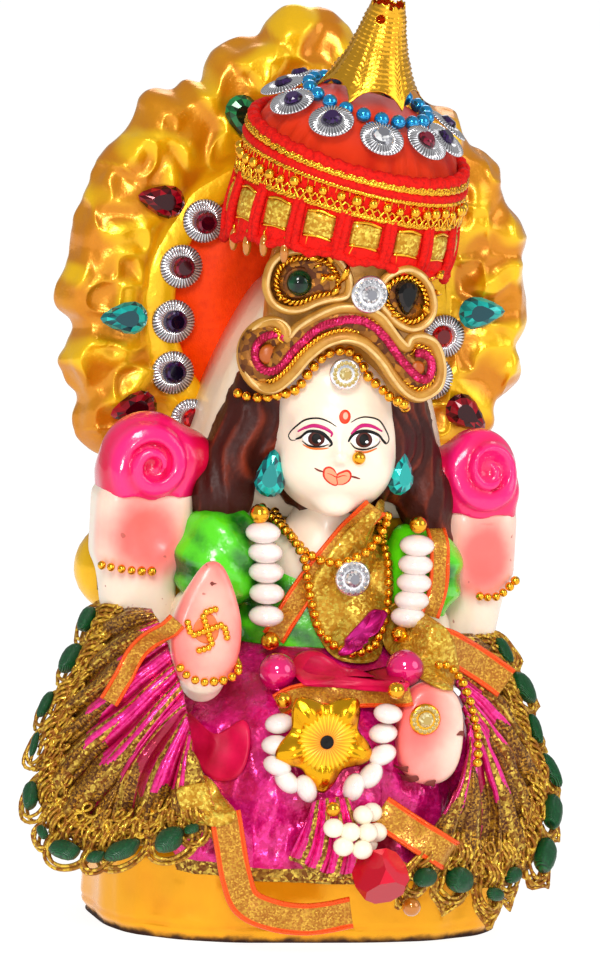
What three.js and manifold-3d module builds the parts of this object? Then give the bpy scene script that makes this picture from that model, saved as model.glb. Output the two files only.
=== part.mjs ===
// A dressed and painted plaster idol of a seated, four-armed goddess, in millimetres.
// +Z is up, the goddess looks along -Y, and the origin is the centre of the flat underside.
// The base, the throne arch and the figure are one casting; the rest is glued on or tied on.
import * as THREE from "three";
import { mergeVertices } from "three/addons/utils/BufferGeometryUtils.js";
import Module from "manifold-3d";

const wasm = await Module();
wasm.setup();

// Driving dimensions
const GAP = 0.3; // clear space between touching pieces
const CLOTH = 1; // thickness of a cloth solid
const BASE = { halfWidth: 45, halfDepth: 29, height: 23, squareness: 2.8, segments: 22 };
const HALO = { centreZ: 130, front: 17, back: 27, foldDepth: 2.2, innerRadius: 35, bandRadius: 27.5 };
const THRONE = { halfWidth: 37, bottom: 8, top: 96, bolsterZ: 71, bolsterRadius: 8.2 };
const HEAD = { centre: [2, -12.5, 104], radii: [15, 13.8, 18.4], lean: 5, yaw: -14 };
const CROWN = { centre: [1, -9.5, 124], halfWidth: 21, halfDepth: 19.5, lean: 5 };
const CAP = { centre: [1.8, -10, 141], radius: 22.8, depthShare: 0.92, wallTop: 25, top: 37, sides: 16 };
const CAP_TILT = { lean: 4.5, pitch: 5 };
const TORSO = { centre: [1, -5, 62], radii: [18, 12.5, 24.5] };
const SLEEVE = { x: 21, y: -9, z: 78, radii: [12.5, 9.5, 11.5] };
const LEFT_RAISED = { x: -38.4, y: -5, halfWidth: 10.8, halfDepth: 7.4, foot: 55, wrist: 66, top: 92 };
const RIGHT_RAISED = { x: 38.6, y: -5, halfWidth: 6.8, halfDepth: 7.2, foot: 54, wrist: 66, top: 88 };
const LEFT_LOTUS = { x: -38, y: -5, z: 100.5, radii: [12, 9, 9.6] };
const RIGHT_LOTUS = { x: 34, y: -5, z: 96.5, radii: [10.6, 9, 10] };
const LEFT_PALM = { x: -30.4, y: -31, z: 67, halfWidth: 7.2, halfDepth: 3.4, tip: 81, wrist: 53 };
const RIGHT_PALM = { x: 18.2, y: -39.5, z: 46.4, halfWidth: 6.9, halfDepth: 3.3, halfHeight: 10 };
const MIRROR = { radius: 4.7, thickness: 1.4 };
const BEAD = { gold: 1.05, blue: 1.6, white: 2.75, pink: 4, pearl: 1.9 };
const STAR = { x: -7.4, z: 45.4, tip: 10.8, notch: 6.6 };
const STRING_PITCH = 4.8; // two seed beads are one swelling of a string

// The lobed rim of the arch, right foot over the crest to the left foot and back below: [x, z]
const RIM = [
  [46.3, 103], [46.1, 107.4], [48.9, 110.8], [51.6, 113.5], [51.1, 117.9], [50.2, 121.5], [52, 126],
  [52.1, 130], [51.2, 134], [50.5, 138], [51.1, 143], [50.2, 147.6], [46, 152.2], [45, 155.6],
  [44, 160], [40.7, 163], [37.3, 164.6], [35, 169.6], [33.5, 172], [28.5, 173.1], [25, 175],
  [20.5, 178.5], [15.5, 182.5], [10.9, 186.4], [8, 189.6], [5, 192.3], [1, 193.1], [-3, 193.1],
  [-6.5, 192.4], [-8.9, 190], [-10.7, 186.6], [-15.2, 185.9], [-19.6, 184], [-21.8, 181], [-23, 177],
  [-26.3, 176.6], [-29, 174.3], [-33.4, 174.6], [-36.2, 172.6], [-37, 168.6], [-39.4, 165], [-42.8, 161.6],
  [-45.8, 157], [-46.7, 152.9], [-49.5, 146], [-50.3, 141], [-50.6, 136.4], [-52.5, 132], [-52.2, 128],
  [-49.3, 124.8], [-48.8, 121.6], [-51.1, 116.6], [-50.2, 113.4], [-47.2, 108], [-47.4, 103.4],
  [-46.3, 99.6], [-42, 96], [-30, 89], [-10, 84], [10, 84], [30, 89], [42, 97],
];

// The lap, from the waist down to the hem: height, half width and half depth of its outline
const LAP_CENTRE = { x: 0.5, y: -4 };
const LAP_PROFILE = [
  [61, 17, 12],
  [56, 24, 21],
  [46, 33, 31.5],
  [32, 37.5, 33.5],
  [15, 37, 33],
];

// Paint, cloth and trim: colour, roughness, metalness
const YELLOW_PAINT = [0xf0a818, 0.38, 0.25];
const RED_SATIN = [0xd4201c, 0.75, 0];
const GOLD = [0xd9a21e, 0.3, 0.9];
const GOLD_LACE = [0xb98a26, 0.55, 0.6];
const GOLD_CORD = [0xc8902c, 0.6, 0.2];
const SILVER = [0xd6d6da, 0.2, 0.95];
const BLUE_METAL = [0x1683b8, 0.25, 0.4];
const TEAL_CRYSTAL = [0x12908c, 0.1, 0.1];
const RED_CRYSTAL = [0x8c0716, 0.15, 0.1];
const DARK_CRYSTAL = [0x0a2c20, 0.1, 0.1];
const CLEAR_CRYSTAL = [0xdcdcd8, 0.08, 0.1];
const MILK_BEAD = [0xf2dcd6, 0.3, 0];
const PINK_PEARL = [0xe0106c, 0.25, 0];
const MAGENTA_FOIL = [0xb80a60, 0.4, 0.5];
const GAUZE = [0xc9952f, 0.6, 0.3];

const UP = new THREE.Vector3(0, 0, 1);
const FRONT = new THREE.Vector3(0, -1, 0);
const radians = THREE.MathUtils.degToRad;
const vector = (x, y, z) => new THREE.Vector3(x, y, z);
const grown = (radii, grow) => radii.map((radius) => radius + grow);
const count = (length, make) => Array.from({ length }, (_, i) => make(i));

// Closed solids

function solid(geometry) {
  const bare = geometry.index ? geometry.toNonIndexed() : geometry.clone();
  bare.deleteAttribute("normal");
  bare.deleteAttribute("uv");
  const merged = mergeVertices(bare, 1e-4);
  const vertProperties = new Float32Array(merged.attributes.position.array);
  const triVerts = new Uint32Array(merged.index.array);
  const body = new wasm.Manifold(new wasm.Mesh({ numProp: 3, vertProperties, triVerts }));
  return body.volume() > 0 ? body : solid(turned(merged));
}

function turned(geometry) {
  const order = Array.from(geometry.index.array);
  for (let i = 0; i < order.length; i += 3) {
    [order[i + 1], order[i + 2]] = [order[i + 2], order[i + 1]];
  }
  const result = geometry.clone();
  result.setIndex(order);
  return result;
}

function geometryOf(body) {
  const mesh = body.getMesh();
  const geometry = new THREE.BufferGeometry();
  geometry.setAttribute("position", new THREE.BufferAttribute(new Float32Array(mesh.vertProperties), 3));
  geometry.setIndex(new THREE.BufferAttribute(new Uint32Array(mesh.triVerts), 1));
  geometry.computeVertexNormals();
  return geometry;
}

function union(bodies) {
  return bodies.reduce((sum, body) => sum.add(body));
}

function largest(body) {
  return body.decompose().sort((a, b) => b.volume() - a.volume())[0];
}

function moved(body, matrix) {
  return body.transform(Array.from(matrix.elements));
}

// A body through rings of points that all have the same number and order, its ends closed by fans.
function loft(rings) {
  const sides = rings[0].length;
  const middle = (ring) => ring.reduce((sum, p) => sum.add(p), vector(0, 0, 0)).divideScalar(sides);
  const points = [...rings.flat(), middle(rings[0]), middle(rings.at(-1))];
  const faces = skin(rings.length - 1, sides, rings.length * sides);
  const [start, end] = [points.length - 2, points.length - 1];
  const last = (rings.length - 1) * sides;
  for (let i = 0; i < sides; i += 1) {
    const next = (i + 1) % sides;
    faces.push(start, next, i, end, last + i, last + next);
  }
  return fromFaces(points, faces);
}

// The same for thin bent rings, which run out along one face and back along the other.
function thinLoft(rings) {
  const sides = rings[0].length;
  const last = (rings.length - 1) * sides;
  const faces = skin(rings.length - 1, sides, rings.length * sides);
  for (let i = 0; i < sides / 2 - 1; i += 1) {
    const [a, b, c, d] = [i, i + 1, sides - 2 - i, sides - 1 - i];
    faces.push(b, a, d, b, d, c, last + a, last + b, last + c, last + a, last + c, last + d);
  }
  return fromFaces(rings.flat(), faces);
}

// The same, with the last ring joined to the first.
function closedLoft(rings) {
  const sides = rings[0].length;
  return fromFaces(rings.flat(), skin(rings.length, sides, rings.length * sides));
}

function skin(spans, sides, wrap) {
  const faces = [];
  for (let r = 0; r < spans; r += 1) {
    for (let i = 0; i < sides; i += 1) {
      const next = (i + 1) % sides;
      const [a, b] = [r * sides + i, r * sides + next];
      const [c, d] = [(a + sides) % wrap, (b + sides) % wrap];
      faces.push(a, b, d, a, d, c);
    }
  }
  return faces;
}

function fromFaces(points, faces) {
  const geometry = new THREE.BufferGeometry();
  geometry.setAttribute("position", new THREE.Float32BufferAttribute(points.flatMap((p) => p.toArray()), 3));
  geometry.setIndex(faces);
  return solid(geometry);
}

function ellipsoid([x, y, z], radii, around, down) {
  const geometry = new THREE.SphereGeometry(1, around, down);
  geometry.rotateX(Math.PI / 2);
  geometry.scale(...radii);
  geometry.translate(x, y, z);
  return solid(geometry);
}

function box([x, y, z], [width, depth, height]) {
  const geometry = new THREE.BoxGeometry(width, depth, height);
  geometry.translate(x, y, z);
  return solid(geometry);
}

// A round body about the local +Z axis from [radius, z] pairs.
function lathe(profile, segments) {
  const geometry = new THREE.LatheGeometry(
    profile.map(([radius, z]) => new THREE.Vector2(radius, z)),
    segments,
  );
  geometry.rotateX(Math.PI / 2);
  return solid(geometry);
}

// An upright limb through [x, y, z, halfWidth, halfDepth] stations.
function limb(stations, sides, grow) {
  const ring = ([x, y, z, halfWidth, halfDepth]) =>
    count(sides, (i) => {
      const turn = (2 * Math.PI * i) / sides;
      return vector(x + (halfWidth + grow) * Math.cos(turn), y + (halfDepth + grow) * Math.sin(turn), z);
    });
  return loft(stations.map(ring));
}

// The section of a string, cord or limb: a regular ring about a point, square to a direction.
function ringAbout(centre, along, radius, sides) {
  const side = along.clone().cross(Math.abs(along.y) < 0.9 ? FRONT : UP).normalize();
  const rise = side.clone().cross(along).normalize();
  return count(sides, (i) => {
    const turn = (2 * Math.PI * (i + 0.5)) / sides;
    const spoke = side.clone().multiplyScalar(radius * Math.cos(turn));
    return centre.clone().add(spoke).addScaledVector(rise, radius * Math.sin(turn));
  });
}

function bar(from, to, fromRadius, toRadius, sides) {
  const along = to.clone().sub(from).normalize();
  return loft([ringAbout(from, along, fromRadius, sides), ringAbout(to, along, toRadius, sides)]);
}

function curve(points, closed = false) {
  return new THREE.CatmullRomCurve3(points, closed, "centripetal");
}

function cord(path, radius, step, sides = 5) {
  const spans = Math.max(2, Math.round(path.getLength() / step));
  const section = (share) => ringAbout(path.getPointAt(share), path.getTangentAt(share), radius, sides);
  return loft(count(spans + 1, (i) => section(i / spans)));
}

// Beads on a thread: the string swells at each bead and narrows between two.
function beads(path, radius, pitch, sides = 3, neck = 0.55) {
  const total = Math.max(2, Math.round(path.getLength() / pitch));
  const at = (i) => {
    const share = i / (2 * total);
    const size = i % 2 ? radius : radius * neck;
    return ringAbout(path.getPointAt(share), path.getTangentAt(share), size, sides);
  };
  return path.closed ? closedLoft(count(2 * total, at)) : loft(count(2 * total + 1, at));
}

// A closed sheet of cloth over place(u, v), with u and v from 0 to 1.
function sheet(place, across, down, thickness = CLOTH) {
  const step = 0.01;
  const normalAt = (u, v) => {
    const alongU = place(Math.min(u + step, 1), v).sub(place(Math.max(u - step, 0), v));
    const alongV = place(u, Math.min(v + step, 1)).sub(place(u, Math.max(v - step, 0)));
    return alongU.cross(alongV).normalize();
  };
  const row = (r) => {
    const face = (side) =>
      count(across + 1, (c) => {
        const [u, v] = [c / across, r / down];
        return place(u, v).addScaledVector(normalAt(u, v), (side * thickness) / 2);
      });
    return [...face(1), ...face(-1).reverse()];
  };
  return thinLoft(count(down + 1, row));
}

// A cut stone with one pointed end, lying in the front plane with its point up.
function teardrop(halfWidth, length, depth) {
  const corners = 8;
  const ring = (share, y) =>
    count(corners, (i) => {
      const turn = (2 * Math.PI * i) / corners - Math.PI / 2;
      const pinch = 1 - 0.45 * Math.max(0, Math.sin(turn));
      return vector(halfWidth * share * pinch * Math.cos(turn), y, (length / 2) * share * Math.sin(turn));
    });
  return loft([ring(1, 0), ring(0.5, -depth)]);
}

// A round cut stone with its back on the local XY plane.
function roundStone(radius, tableRadius, height) {
  const profile = [
    [0, 0],
    [radius, 0],
    [tableRadius, height * 0.8],
    [0, height],
  ];
  return lathe(profile, 8);
}

function facing(at, normal) {
  const turn = new THREE.Quaternion().setFromUnitVectors(UP, normal.clone().normalize());
  return new THREE.Matrix4().compose(at, turn, vector(1, 1, 1));
}

function frameOf(centre, lean, yaw = 0, pitch = 0) {
  const frame = new THREE.Matrix4().makeTranslation(...centre);
  frame.multiply(new THREE.Matrix4().makeRotationY(radians(lean)));
  frame.multiply(new THREE.Matrix4().makeRotationZ(radians(yaw)));
  return frame.multiply(new THREE.Matrix4().makeRotationX(radians(pitch)));
}

const headFrame = frameOf(HEAD.centre, HEAD.lean, HEAD.yaw);
const crownFrame = frameOf(CROWN.centre, CROWN.lean);
const capFrame = frameOf(CAP.centre, CAP_TILT.lean, 0, CAP_TILT.pitch);
capFrame.multiply(new THREE.Matrix4().makeScale(1, CAP.depthShare, 1));

// The casting: base, throne arch and figure. Each form can be grown, to cut clearance in a neighbour.

function base(grow) {
  const { halfWidth, halfDepth, height, squareness, segments } = BASE;
  const round = (value) => Math.sign(value) * Math.abs(value) ** (2 / squareness);
  const ring = (share, z) =>
    count(segments, (i) => {
      const turn = (2 * Math.PI * i) / segments;
      const x = (halfWidth * share + grow) * round(Math.cos(turn));
      return vector(x, (halfDepth * share + grow) * round(Math.sin(turn)), z);
    });
  return loft([ring(0.96, 0), ring(1, 2.5), ring(1, height * 0.75), ring(0.93, height)]);
}

// The arch: a flat middle, a smooth band and folds that run out to the rim, every second one raised.
function arch(grow) {
  const { front, back, centreZ, foldDepth, innerRadius, bandRadius } = HALO;
  const rimRadius = ([x, z]) => Math.hypot(x, z - centreZ);
  const ring = (radiusAt, depthAt) =>
    RIM.map((corner, i) => {
      const share = radiusAt(corner) / rimRadius(corner);
      return vector(corner[0] * share, depthAt(i), centreZ + (corner[1] - centreZ) * share);
    });
  const fold = (i) => foldDepth * (i % 2);
  const middle = (corner) => (innerRadius + rimRadius(corner)) / 2;
  const rim = (corner) => rimRadius(corner) + grow;
  return loft([
    ring(() => bandRadius, () => front + 1.2 - grow),
    ring(() => bandRadius + 1.5, () => front - 0.6 - grow),
    ring(() => innerRadius, () => front - grow),
    ring(middle, (i) => front - 1.6 - fold(i) - grow),
    ring(rim, (i) => front + 4 - fold(i) - grow),
    ring((corner) => rim(corner) - 2, () => back + grow),
  ]);
}

function throneBack(grow) {
  const { halfWidth, bottom, top, bolsterZ, bolsterRadius } = THRONE;
  const y = (HALO.front + HALO.back) / 2;
  const size = grown([2 * halfWidth, HALO.back - HALO.front, top - bottom], 2 * grow);
  const radii = grown([bolsterRadius, bolsterRadius, bolsterRadius * 1.15], grow);
  const bolster = (side) => ellipsoid([side * halfWidth, y - 2, bolsterZ], radii, 8, 6);
  return union([box([0, y, (bottom + top) / 2], size), bolster(-1), bolster(1)]);
}

function lapForm(grow) {
  const { x, y } = LAP_CENTRE;
  const stations = LAP_PROFILE.map(([z, halfWidth, halfDepth]) => [x, y, z, halfWidth, halfDepth]);
  return limb(stations.reverse(), 18, grow);
}

function torso(grow) {
  const radii = grown(SLEEVE.radii, grow);
  const sleeve = (side) => ellipsoid([side * SLEEVE.x, SLEEVE.y, SLEEVE.z], radii, 8, 6);
  return union([ellipsoid(TORSO.centre, grown(TORSO.radii, grow), 12, 6), sleeve(-1), sleeve(1)]);
}

function head(grow) {
  const face = ellipsoid([0, 0, 0], grown(HEAD.radii, grow), 14, 8);
  const nose = ellipsoid([0, -HEAD.radii[1] + 0.4, -2.4], grown([1.9, 2, 3.4], grow), 6, 4);
  const hair = ellipsoid([0, 7, 1.5], grown([18.6, 13, 20], grow), 10, 6);
  return moved(union([face, nose, hair]), headFrame);
}

function neckAndLocks(grow) {
  const neck = bar(vector(0.5, -6, 78), vector(1.8, -9, 96), 8 + grow, 6.5 + grow, 8);
  const leftLock = ellipsoid([-18.5, -6, 102], grown([8, 7, 17], grow), 8, 6);
  const rightLock = ellipsoid([22, -7, 98], grown([7, 7, 17], grow), 8, 6);
  return union([neck, leftLock, rightLock]);
}

// The pale hood behind the hair, which joins the head to the arch.
function hood(grow) {
  const foot = 86;
  const outline = curve([
    vector(-28, 0, foot),
    vector(-22.4, 0, 112),
    vector(-9, 0, 136),
    vector(4, 0, 140),
    vector(17, 0, 134),
    vector(27.5, 0, 106),
    vector(30, 0, foot),
  ]).getPoints(13);
  const shrunk = (value, about, share) => about + (value - about) * share;
  const ring = (y, share) => outline.map((p) => vector(shrunk(p.x, 1, share), y, shrunk(p.z, foot, share)));
  const wide = 1 + grow / 28;
  return loft([ring(-1 - grow, wide - 0.04), ring(1 - grow, wide), ring(HALO.front + 2, wide)]);
}

// The cast crown, which carries the padded cap.
function crownCore(grow) {
  const { halfWidth, halfDepth } = CROWN;
  const ring = (z, share) => [0, 0, z, halfWidth * share, halfDepth * share];
  const brow = [ring(-9, 0.88), ring(-3, 0.97), ring(13, 1)];
  const peak = [ring(17, 0.82), ring(36 + grow, 0.55), ring(39 + grow, 0.2)];
  return moved(limb([...brow, ...peak], 14, grow), crownFrame);
}

function raisedArm({ x, y, halfWidth, halfDepth, foot, wrist, top }, grow) {
  const stations = [
    [x, y, foot, halfWidth * 0.66, halfDepth * 0.85],
    [x, y, wrist, halfWidth * 0.74, halfDepth * 0.85],
    [x, y, (wrist + top) / 2 + 2, halfWidth, halfDepth],
    [x, y, top, halfWidth * 0.8, halfDepth * 0.8],
  ];
  const webDepth = HALO.front - y + 2;
  const webWidth = halfWidth * 1.1 + 2 * grow;
  const web = box([x, y + webDepth / 2, (foot + top) / 2], [webWidth, webDepth, top - foot]);
  return union([limb(stations, 10, grow), web]);
}

function lotus({ x, y, z, radii }, grow) {
  const [rx, ry, rz] = radii;
  const petal = (side) => {
    const centre = [x + side * rx * 0.5, y - ry * 0.55, z - rz * 0.1];
    return ellipsoid(centre, grown([rx * 0.45, ry * 0.55, rz * 0.75], grow), 6, 4);
  };
  const cupRadii = grown([rx * 0.55, ry * 0.75, rz * 0.6], grow);
  const cup = ellipsoid([x, y - ry * 0.45, z + rz * 0.15], cupRadii, 6, 4);
  return union([ellipsoid([x, y, z], grown(radii, grow), 8, 6), petal(-1), petal(1), cup]);
}

// The palm held up in blessing, with its fingers closed to one point.
function blessingHand(grow) {
  const { x, y, z, halfWidth, halfDepth, tip, wrist } = LEFT_PALM;
  const stations = [
    [x, y, wrist, halfWidth * 0.55, halfDepth],
    [x, y, wrist + 6, halfWidth * 0.85, halfDepth],
    [x, y, z - 2, halfWidth, halfDepth],
    [x, y, z + 6, halfWidth * 0.85, halfDepth * 0.9],
    [x - 0.6, y, tip, halfWidth * 0.25, halfDepth * 0.5],
  ];
  const forearm = bar(vector(x, y, wrist + 4), vector(x + 3, -8, 64), 4 + grow, 6.5 + grow, 8);
  return union([limb(stations, 10, grow), forearm]);
}

// The palm held down, which gives.
function givingHand(grow) {
  const { x, y, z, halfWidth, halfDepth, halfHeight } = RIGHT_PALM;
  const stations = [
    [x + 0.8, y - 0.4, z - halfHeight, halfWidth * 0.6, halfDepth * 0.7],
    [x + 0.4, y, z - halfHeight * 0.75, halfWidth * 0.92, halfDepth],
    [x, y, z, halfWidth, halfDepth],
    [x - 0.2, y + 0.6, z + halfHeight * 0.7, halfWidth * 0.88, halfDepth],
    [x, y + 1.4, z + halfHeight, halfWidth * 0.55, halfDepth],
  ];
  const forearm = bar(vector(x, y + 2, z + 6), vector(x + 4, -8, 62), 4 + grow, 6.5 + grow, 8);
  return union([limb(stations, 10, grow), forearm]);
}

function paintedIdol(grow) {
  const forms = [base, arch, throneBack, lapForm, torso, neckAndLocks, head, hood, crownCore];
  const limbs = [
    raisedArm(LEFT_RAISED, grow),
    raisedArm(RIGHT_RAISED, grow),
    lotus(LEFT_LOTUS, grow),
    lotus(RIGHT_LOTUS, grow),
    blessingHand(grow),
    givingHand(grow),
  ];
  return union([...forms.map((form) => form(grow)), ...limbs]);
}

const idol = paintedIdol(0);
const idolClear = paintedIdol(GAP);

// The padded cap and what is on it

function capDome() {
  const { radius, wallTop, top } = CAP;
  const form = lathe(
    [
      [0, 0],
      [radius, 0],
      [radius, wallTop],
      [radius * 0.8, wallTop + 7],
      [radius * 0.45, top - 1],
      [0, top],
    ],
    CAP.sides,
  );
  return moved(form, capFrame).subtract(idolClear);
}

// The gold and red lace round the cap: a flared hem, a smooth band and a braid on top.
function capLace() {
  const inner = CAP.radius + 2 * GAP;
  const band = lathe(
    [
      [inner, -2.4],
      [inner + 2, -2.4],
      [inner + 1.6, 5],
      [inner + 1.2, CAP.wallTop - 4],
      [inner + 0.8, CAP.wallTop - 1],
      [inner, CAP.wallTop - 1],
      [inner, -2.4],
    ],
    CAP.sides,
  );
  return moved(band, capFrame).subtract(idolClear);
}

// A point on the slope of the cap: turn in degrees from the right, distance from the axis and height.
function onCap(turn, radius, height) {
  const angle = radians(turn);
  return vector(radius * Math.cos(angle), radius * Math.sin(angle), height).applyMatrix4(capFrame);
}

function capBlueBeads() {
  const ring = { radius: 12.4, height: CAP.top + 1.4, beads: 18 };
  const path = curve(count(ring.beads, (i) => onCap((360 / ring.beads) * i, ring.radius, ring.height)), true);
  return beads(path, BEAD.blue, path.getLength() / ring.beads, 4, 0.4);
}

// A row of pressed silver discs on one strip: each swells to its full width between two narrow links.
function mirrorRow(places, normals, closed) {
  const { radius, thickness } = MIRROR;
  const stations = [[-0.92, 0.35], [-0.4, 0.94], [0.4, 0.94], [0.92, 0.35]];
  const rings = places.flatMap((at, i) => {
    const before = places[i - 1] ?? (closed ? places.at(-1) : at);
    const after = places[i + 1] ?? (closed ? places[0] : at);
    const along = after.clone().sub(before).normalize();
    const across = normals[i].clone().cross(along).normalize();
    return stations.map(([step, share]) => {
      const centre = at.clone().addScaledVector(along, step * radius);
      const raised = centre.clone().addScaledVector(normals[i], thickness);
      const edge = (from, side) => from.clone().addScaledVector(across, side * share * radius);
      return [edge(centre, -1), edge(raised, -0.5), edge(raised, 0.5), edge(centre, 1)];
    });
  });
  return closed ? closedLoft(rings) : loft(rings);
}

function capMirrors() {
  const row = { discs: 12, radius: 19.8, height: CAP.wallTop + 8.8, slope: radians(38) };
  const turns = count(row.discs, (i) => -75 + (360 / row.discs) * i);
  const places = turns.map((turn) => onCap(turn, row.radius, row.height));
  const above = (turn) => onCap(turn, row.radius + Math.sin(row.slope), row.height + Math.cos(row.slope));
  return mirrorRow(places, turns.map((turn, i) => above(turn).sub(places[i]).normalize()), true);
}

// The embossed foil cone on top, open above, with a flared foot cut to points.
function capFinial() {
  const foot = CAP.top + 1.8;
  const height = 18.8;
  const wall = 0.7;
  const sides = 10;
  const ring = (radius, z, points = 0) =>
    count(sides, (i) => onCap((360 / sides) * i, radius, foot + z + (i % 2) * points));
  return closedLoft([
    ring(9, 0, 2),
    ring(6.2, 5),
    ring(3.3, height),
    ring(3.3 - wall, height),
    ring(6.2 - wall, 5),
    ring(9 - wall, 0, 2),
  ]);
}

// Trim on the arch

function archMirrors() {
  const row = { discs: 13, from: -42, to: 222, radius: 30.6, x: 1, z: 127, y: HALO.front - 1 - GAP };
  const at = (i) => {
    const turn = radians(row.from + ((row.to - row.from) / (row.discs - 1)) * i);
    return vector(row.x + row.radius * Math.cos(turn), row.y, row.z + row.radius * Math.sin(turn));
  };
  const places = count(row.discs, at);
  return largest(mirrorRow(places, places.map(() => FRONT), false).subtract(idolClear));
}

// x and z of the centre, and how far the point turns from up, counted to the right
const ARCH_STONES = [
  ["arch_stone_upper_left", -16.5, 169, 150, TEAL_CRYSTAL],
  ["arch_stone_shoulder_left", -33.9, 150, -80, RED_CRYSTAL],
  ["arch_stone_side_left", -39.5, 126, -92, TEAL_CRYSTAL],
  ["arch_stone_lower_left", -36.4, 107, -105, RED_CRYSTAL],
  ["arch_stone_upper_right", 16.5, 170, -150, TEAL_CRYSTAL],
  ["arch_stone_side_right", 39.8, 129, 86, TEAL_CRYSTAL],
  ["arch_stone_lower_right", 37.4, 107, 125, RED_CRYSTAL],
];

// The front of what is already in place, found along +Y

const placed = [];
const caster = new THREE.Raycaster();

function frontAt(x, z, reach = 0) {
  const sample = (dx, dz) => {
    caster.set(vector(x + dx, -200, z + dz), vector(0, 1, 0));
    const hits = caster.intersectObjects(placed, false);
    return hits.length ? hits[0].point.y : 0;
  };
  const around = count(8, (i) => [reach * Math.cos((i * Math.PI) / 4), reach * Math.sin((i * Math.PI) / 4)]);
  return Math.min(sample(0, 0), ...around.map(([dx, dz]) => sample(dx, dz)));
}

// A path laid over the front from [x, z] places, pulled taut and clear by the radius of what lies on it.
// It looks for what carries it within reach of the path and halfSpan of the middle, and stays in front
// of farthest.
function laid(places, radius, { halfSpan = Infinity, reach = radius * 1.2, farthest = Infinity } = {}) {
  const rough = curve(places.map(([x, z]) => vector(x, 0, z)));
  const steps = Math.max(4, Math.round(rough.getLength() / 3));
  const spread = count(steps + 1, (i) => rough.getPointAt(i / steps));
  const depths = spread.map(({ x, z }) => {
    const found = frontAt(THREE.MathUtils.clamp(x, -halfSpan, halfSpan), z, reach);
    return Math.min(found - radius - GAP, farthest);
  });
  for (let pass = 0; pass < 60; pass += 1) {
    for (let i = 1; i < steps; i += 1) {
      depths[i] = Math.min(depths[i], (depths[i - 1] + depths[i + 1]) / 2);
    }
  }
  return curve(spread.map((p, i) => vector(p.x, depths[i], p.z)));
}

function laidStone(stone, x, z, reach) {
  return moved(stone, facing(vector(x, frontAt(x, z, reach) - GAP, z), FRONT));
}

function turnedDrop([halfWidth, length, depth], [x, y, z], turn) {
  const place = new THREE.Matrix4().makeTranslation(x, y, z);
  place.multiply(new THREE.Matrix4().makeRotationY(radians(turn)));
  return moved(teardrop(halfWidth, length, depth), place);
}

function laidDrop(size, x, z, turn) {
  return turnedDrop(size, [x, frontAt(x, z, size[0]) - GAP, z], turn);
}

// Cloth

// The front of the lap from one side to the other, waist to hem, in soft folds.
function lapCloth() {
  const rows = LAP_PROFILE.length - 1;
  const reach = { from: 192, to: 348, lift: 1.6, folds: 6, foldDepth: 1.4 };
  const place = (u, v) => {
    const row = Math.min(Math.floor(v * rows), rows - 1);
    const share = v * rows - row;
    const mix = (i) => THREE.MathUtils.lerp(LAP_PROFILE[row][i], LAP_PROFILE[row + 1][i], share);
    const [z, halfWidth, halfDepth] = [mix(0), mix(1), mix(2)];
    const turn = radians(reach.from + (reach.to - reach.from) * u);
    const fold = reach.foldDepth * (0.5 + 0.5 * Math.cos(2 * Math.PI * reach.folds * u)) * v;
    const grow = reach.lift + fold;
    return vector(
      LAP_CENTRE.x + (halfWidth + grow) * Math.cos(turn),
      LAP_CENTRE.y + (halfDepth + grow) * Math.sin(turn),
      z,
    );
  };
  return largest(sheet(place, reach.folds * 2, rows).subtract(idolClear));
}

// Pleats spread from a gathered edge to a hem.
function pleated(gather, hem, pleats, depth) {
  return (u, v) => {
    const from = gather.getPointAt(u);
    const to = hem.getPointAt(u);
    const swell = vector(from.x * 0.3, -20, 8).normalize();
    const fold = Math.abs(((u * pleats) % 1) - 0.5) * 2 - 0.5;
    return from.lerp(to, v).addScaledVector(swell, 3 * Math.sin(Math.PI * v) + fold * depth * v);
  };
}

const LEFT_FAN = {
  gather: curve([vector(-39, -17, 67), vector(-41, -22, 60), vector(-38, -31, 50), vector(-33, -38, 42)]),
  hem: curve([
    vector(-47, -8, 66),
    vector(-54, -12, 52),
    vector(-58, -16, 34),
    vector(-54, -26, 22),
    vector(-42, -35, 20),
    vector(-29, -41, 24),
  ]),
};
const RIGHT_FAN = {
  gather: curve([vector(27, -12, 63), vector(29, -19, 58), vector(30, -29, 51), vector(29, -38, 44)]),
  hem: curve([
    vector(41, -7, 62),
    vector(49, -11, 48),
    vector(52, -17, 34),
    vector(48, -25, 23),
    vector(38, -34, 17),
    vector(22, -41, 18),
  ]),
};
const FAN = { pleats: 9, depth: 3, lace: 8.5, barrels: 10, barrelRadius: 1.9 };

function fan({ gather, hem }) {
  const cloth = sheet(pleated(gather, hem, FAN.pleats, FAN.depth), FAN.pleats * 2, 2);
  return largest(cloth.subtract(lapClear).subtract(idolClear));
}

// The lace beyond a hem: a net band that swells at each green wound barrel.
function laceBorder({ gather, hem }) {
  const steps = FAN.barrels * 3;
  const section = (i) => {
    const u = i / steps;
    const at = hem.getPointAt(u);
    const out = at.clone().sub(gather.getPointAt(u)).normalize();
    const across = out.clone().cross(hem.getTangentAt(u)).normalize();
    const wound = i % 3 > 0;
    const bulge = wound ? FAN.barrelRadius : 0.7;
    const reach = FAN.lace - (wound ? 0 : 1.4);
    const point = (along, off) => at.clone().addScaledVector(out, along).addScaledVector(across, off);
    return [point(1, 0.5), point(4.4, bulge), point(reach, 0), point(4.4, -bulge), point(1, -0.5)];
  };
  return largest(loft(count(steps + 1, section)).subtract(lapClear).subtract(idolClear));
}

function frontPleats() {
  const gather = laid([[-8.5, 33], [-5, 34], [-1, 34]], 1.2);
  const hem = curve([vector(-13, -42, 21.5), vector(-6, -43.5, 18.5), vector(3, -43.5, 18)]);
  return sheet(pleated(gather, hem, 4, 2.4), 8, 1);
}

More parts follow.
